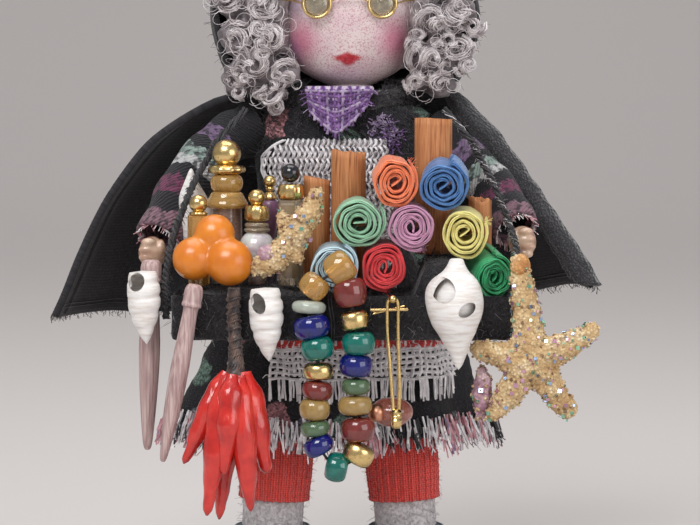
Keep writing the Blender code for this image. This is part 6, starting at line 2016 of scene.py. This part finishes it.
def encrusted(name, form, node, seed, grains, flakes, skin="dried_star"):
    """Sandy skin with grains stuck on it and a few glinting flakes."""
    star = piece(name, form, skin, [node], 80)
    chance = Chance(seed)
    grit = bmesh.new()
    for place, way in scattered(star, grains, chance):
        size = chance.uniform(0.09, 0.19) * MM
        grain = bmesh.new()
        bmesh.ops.create_icosphere(grain, subdivisions=1, radius=size)
        turn, axis = chance.uniform(0, 6), chance.shift(1)
        shape = Matrix.Translation(place + way * 0.4 * size) @ Matrix.Rotation(turn, 4, axis) \
            @ Matrix.Diagonal((1, chance.uniform(0.6, 1), chance.uniform(0.5, 1.2), 1))
        joined(grit, grain, shape, chance.choice((0, 0, 0, 1)))
    piece(name + "_grit", grit, ["star_grain", "star_grain_dark"], angle=20)
    glints = bmesh.new()
    for place, way in scattered(star, flakes, chance, lambda p, n: n.y < 0.2):
        flake = bmesh.new()
        bmesh.ops.create_grid(flake, x_segments=1, y_segments=1,
                              size=chance.uniform(0.08, 0.19) * MM)
        bmesh.ops.solidify(flake, geom=flake.faces[:], thickness=0.03 * MM)
        tilt = (way + chance.shift(0.5)).normalized()
        joined(glints, flake, along(place + way * 0.16 * MM, tilt), chance.choice((0, 1, 2)))
    piece(name + "_flakes", glints, ["flake_green", "flake_pink", "flake_blue"],
          angle=20)
    return star


def make_starfish():
    """A big dried starfish at the tray's corner and a curled small one in the tray."""
    middle = hanging(*STAR_MIDDLE)
    form = ball((2.35, 1.15, 2.35), middle)
    for x, up in STAR_TIPS:
        tip = hanging(x, STAR_MIDDLE[1] - 0.1, up)
        arm_of_balls(form, [middle, middle.lerp(tip, 0.5), tip], [1.7, 1.5, 1.28, 1.06, 0.8])
    form = roughened(melted(form, 0.17, 3), (0.3, 1.3), (0.16, 0.5), (0.05, 0.2))
    encrusted("big_starfish", form, "starfish", 21, 560, 150)
    knob = ball((0.9, 0.75, 1.1), hanging(15.6, 1.4, 2.6), 20, 14)
    piece("star_tip", roughened(knob, (0.12, 0.6)), "apricot")
    patch = ball((0.9, 0.5, 0.75), ware(-7, 0.15, 3.6), 20, 14)
    piece("star_patch", roughened(patch, (0.2, 0.5)), "coral_pink")
    form = bmesh.new()
    for i, arm in enumerate(SMALL_STAR):
        radii = [1.05, 0.85, 0.6] if i else [0.75, 1.15, 1.3, 1.1, 0.72]
        arm_of_balls(form, [ware(*place) for place in arm], radii, 18)
    form = roughened(melted(form, 0.16, 3), (0.26, 1.1), (0.16, 0.45), (0.05, 0.2))
    encrusted("small_starfish", form, "starfish_small", 22, 320, 26)
    form = ball((0.85, 0.8, 2.3), middle_of("coral_piece")[0], 28, 24)
    encrusted("pink_coral", roughened(form, (0.35, 0.8), (0.15, 0.3)), "coral_piece", 23, 60, 12,
              "coral_pink")


def make_floor():
    """A pale floor that rises into a pale backdrop."""
    form = bmesh.new()
    line = [form.verts.new((-900 * MM, y * MM, z * MM)) for y, z in (
        (-700, 0), (300, 0), (420, 20), (500, 90), (540, 200), (550, 900))]
    for a, b in zip(line, line[1:]):
        form.edges.new((a, b))
    made = bmesh.ops.extrude_edge_only(form, edges=form.edges[:])
    moved = [item for item in made["geom"] if isinstance(item, bmesh.types.BMVert)]
    bmesh.ops.translate(form, vec=(1800 * MM, 0, 0), verts=moved)
    mesh = ended("floor", outward(form))
    floor = linked("floor", mesh)
    paper = Finish("pale_paper", (0.6, 0.565, 0.55), 0.9)
    paper.paint(paper.mixed(paper.noise(0.004), (0.6, 0.565, 0.55), (0.57, 0.54, 0.53)))
    mesh.materials.append(paper.material)
    mesh.shade_smooth()
    curve = floor.modifiers.new("curve", "SUBSURF")
    curve.levels = curve.render_levels = 3


def make_lamp(name, place, aim, size, power):
    light = bpy.data.lights.new(name, "AREA")
    light.shape = "RECTANGLE"
    light.size, light.size_y = size[0] * MM, size[1] * MM
    light.energy = power
    set_up(linked(name, light), at(*place), at(*aim))


CAMERA_AIM = (0.45, -15, 36)
CAMERA_DISTANCE = 220
CAMERA_RISE = radians(4)
FRAME_WIDTH = 63
SENSOR = 36


def make_camera():
    lens = bpy.data.cameras.new("camera")
    lens.sensor_width = SENSOR
    lens.lens = SENSOR * CAMERA_DISTANCE / FRAME_WIDTH
    lens.clip_start = 0.01
    lens.clip_end = 20
    camera = linked("camera", lens)
    aim = at(*CAMERA_AIM)
    back = Vector((0, -cos(CAMERA_RISE), sin(CAMERA_RISE))) * CAMERA_DISTANCE * MM
    set_up(camera, aim + back, aim)
    bpy.context.scene.camera = camera


def make_studio():
    make_floor()
    world = bpy.data.worlds.new("studio")
    world.use_nodes = True
    light = world.node_tree.nodes["Background"].inputs
    light["Color"].default_value = (0.8, 0.79, 0.8, 1)
    light["Strength"].default_value = 0.46
    bpy.context.scene.world = world
    bpy.context.scene.view_settings.view_transform = "Standard"
    make_lamp("key", (-120, -260, 300), (0, 0, 40), (220, 160), 1.05)
    make_lamp("fill", (260, -240, 120), (0, 0, 35), (260, 200), 0.42)
    make_lamp("top", (0, 60, 380), (0, 0, 40), (300, 300), 0.75)


def apron_sides(height):
    """The apron's left and right side, which curve in at the bib's top corner."""
    left, right = between(APRON_STATIONS, height)
    return left + 1.7 * (max(height - BIB_TOP + 1.8, 0) / 1.8) ** 2, right


def crosswise(route, step, guide):
    """Two directions square to a route at one of its steps."""
    way = (route[min(step + 1, len(route) - 1)] - route[max(step - 1, 0)]).normalized()
    side = way.cross(guide).normalized()
    return side, side.cross(way)


def set_up(tool, place, aim):
    """Puts a lamp or the camera at a place and turns it to what it looks at."""
    tool.location = place
    tool.rotation_euler = (aim - tool.location).to_track_quat("-Z", "Y").to_euler()


for make in (make_camera, make_studio, make_head, make_eyes, make_hair, make_dress, make_hood):
    make()
make_cape_fluff(make_cape())
for make in (make_apron, make_kerchief, make_sleeves, make_legs, make_tray, make_straps):
    make()
for make, wares in ((make_roll, ROLLS), (make_stick, STICKS), (make_bottle, BOTTLES)):
    for name in wares:
        make(name)
for make in (make_oranges, make_shells, make_spines, make_peppers, make_starfish, make_beads,
             make_pin):
    make()
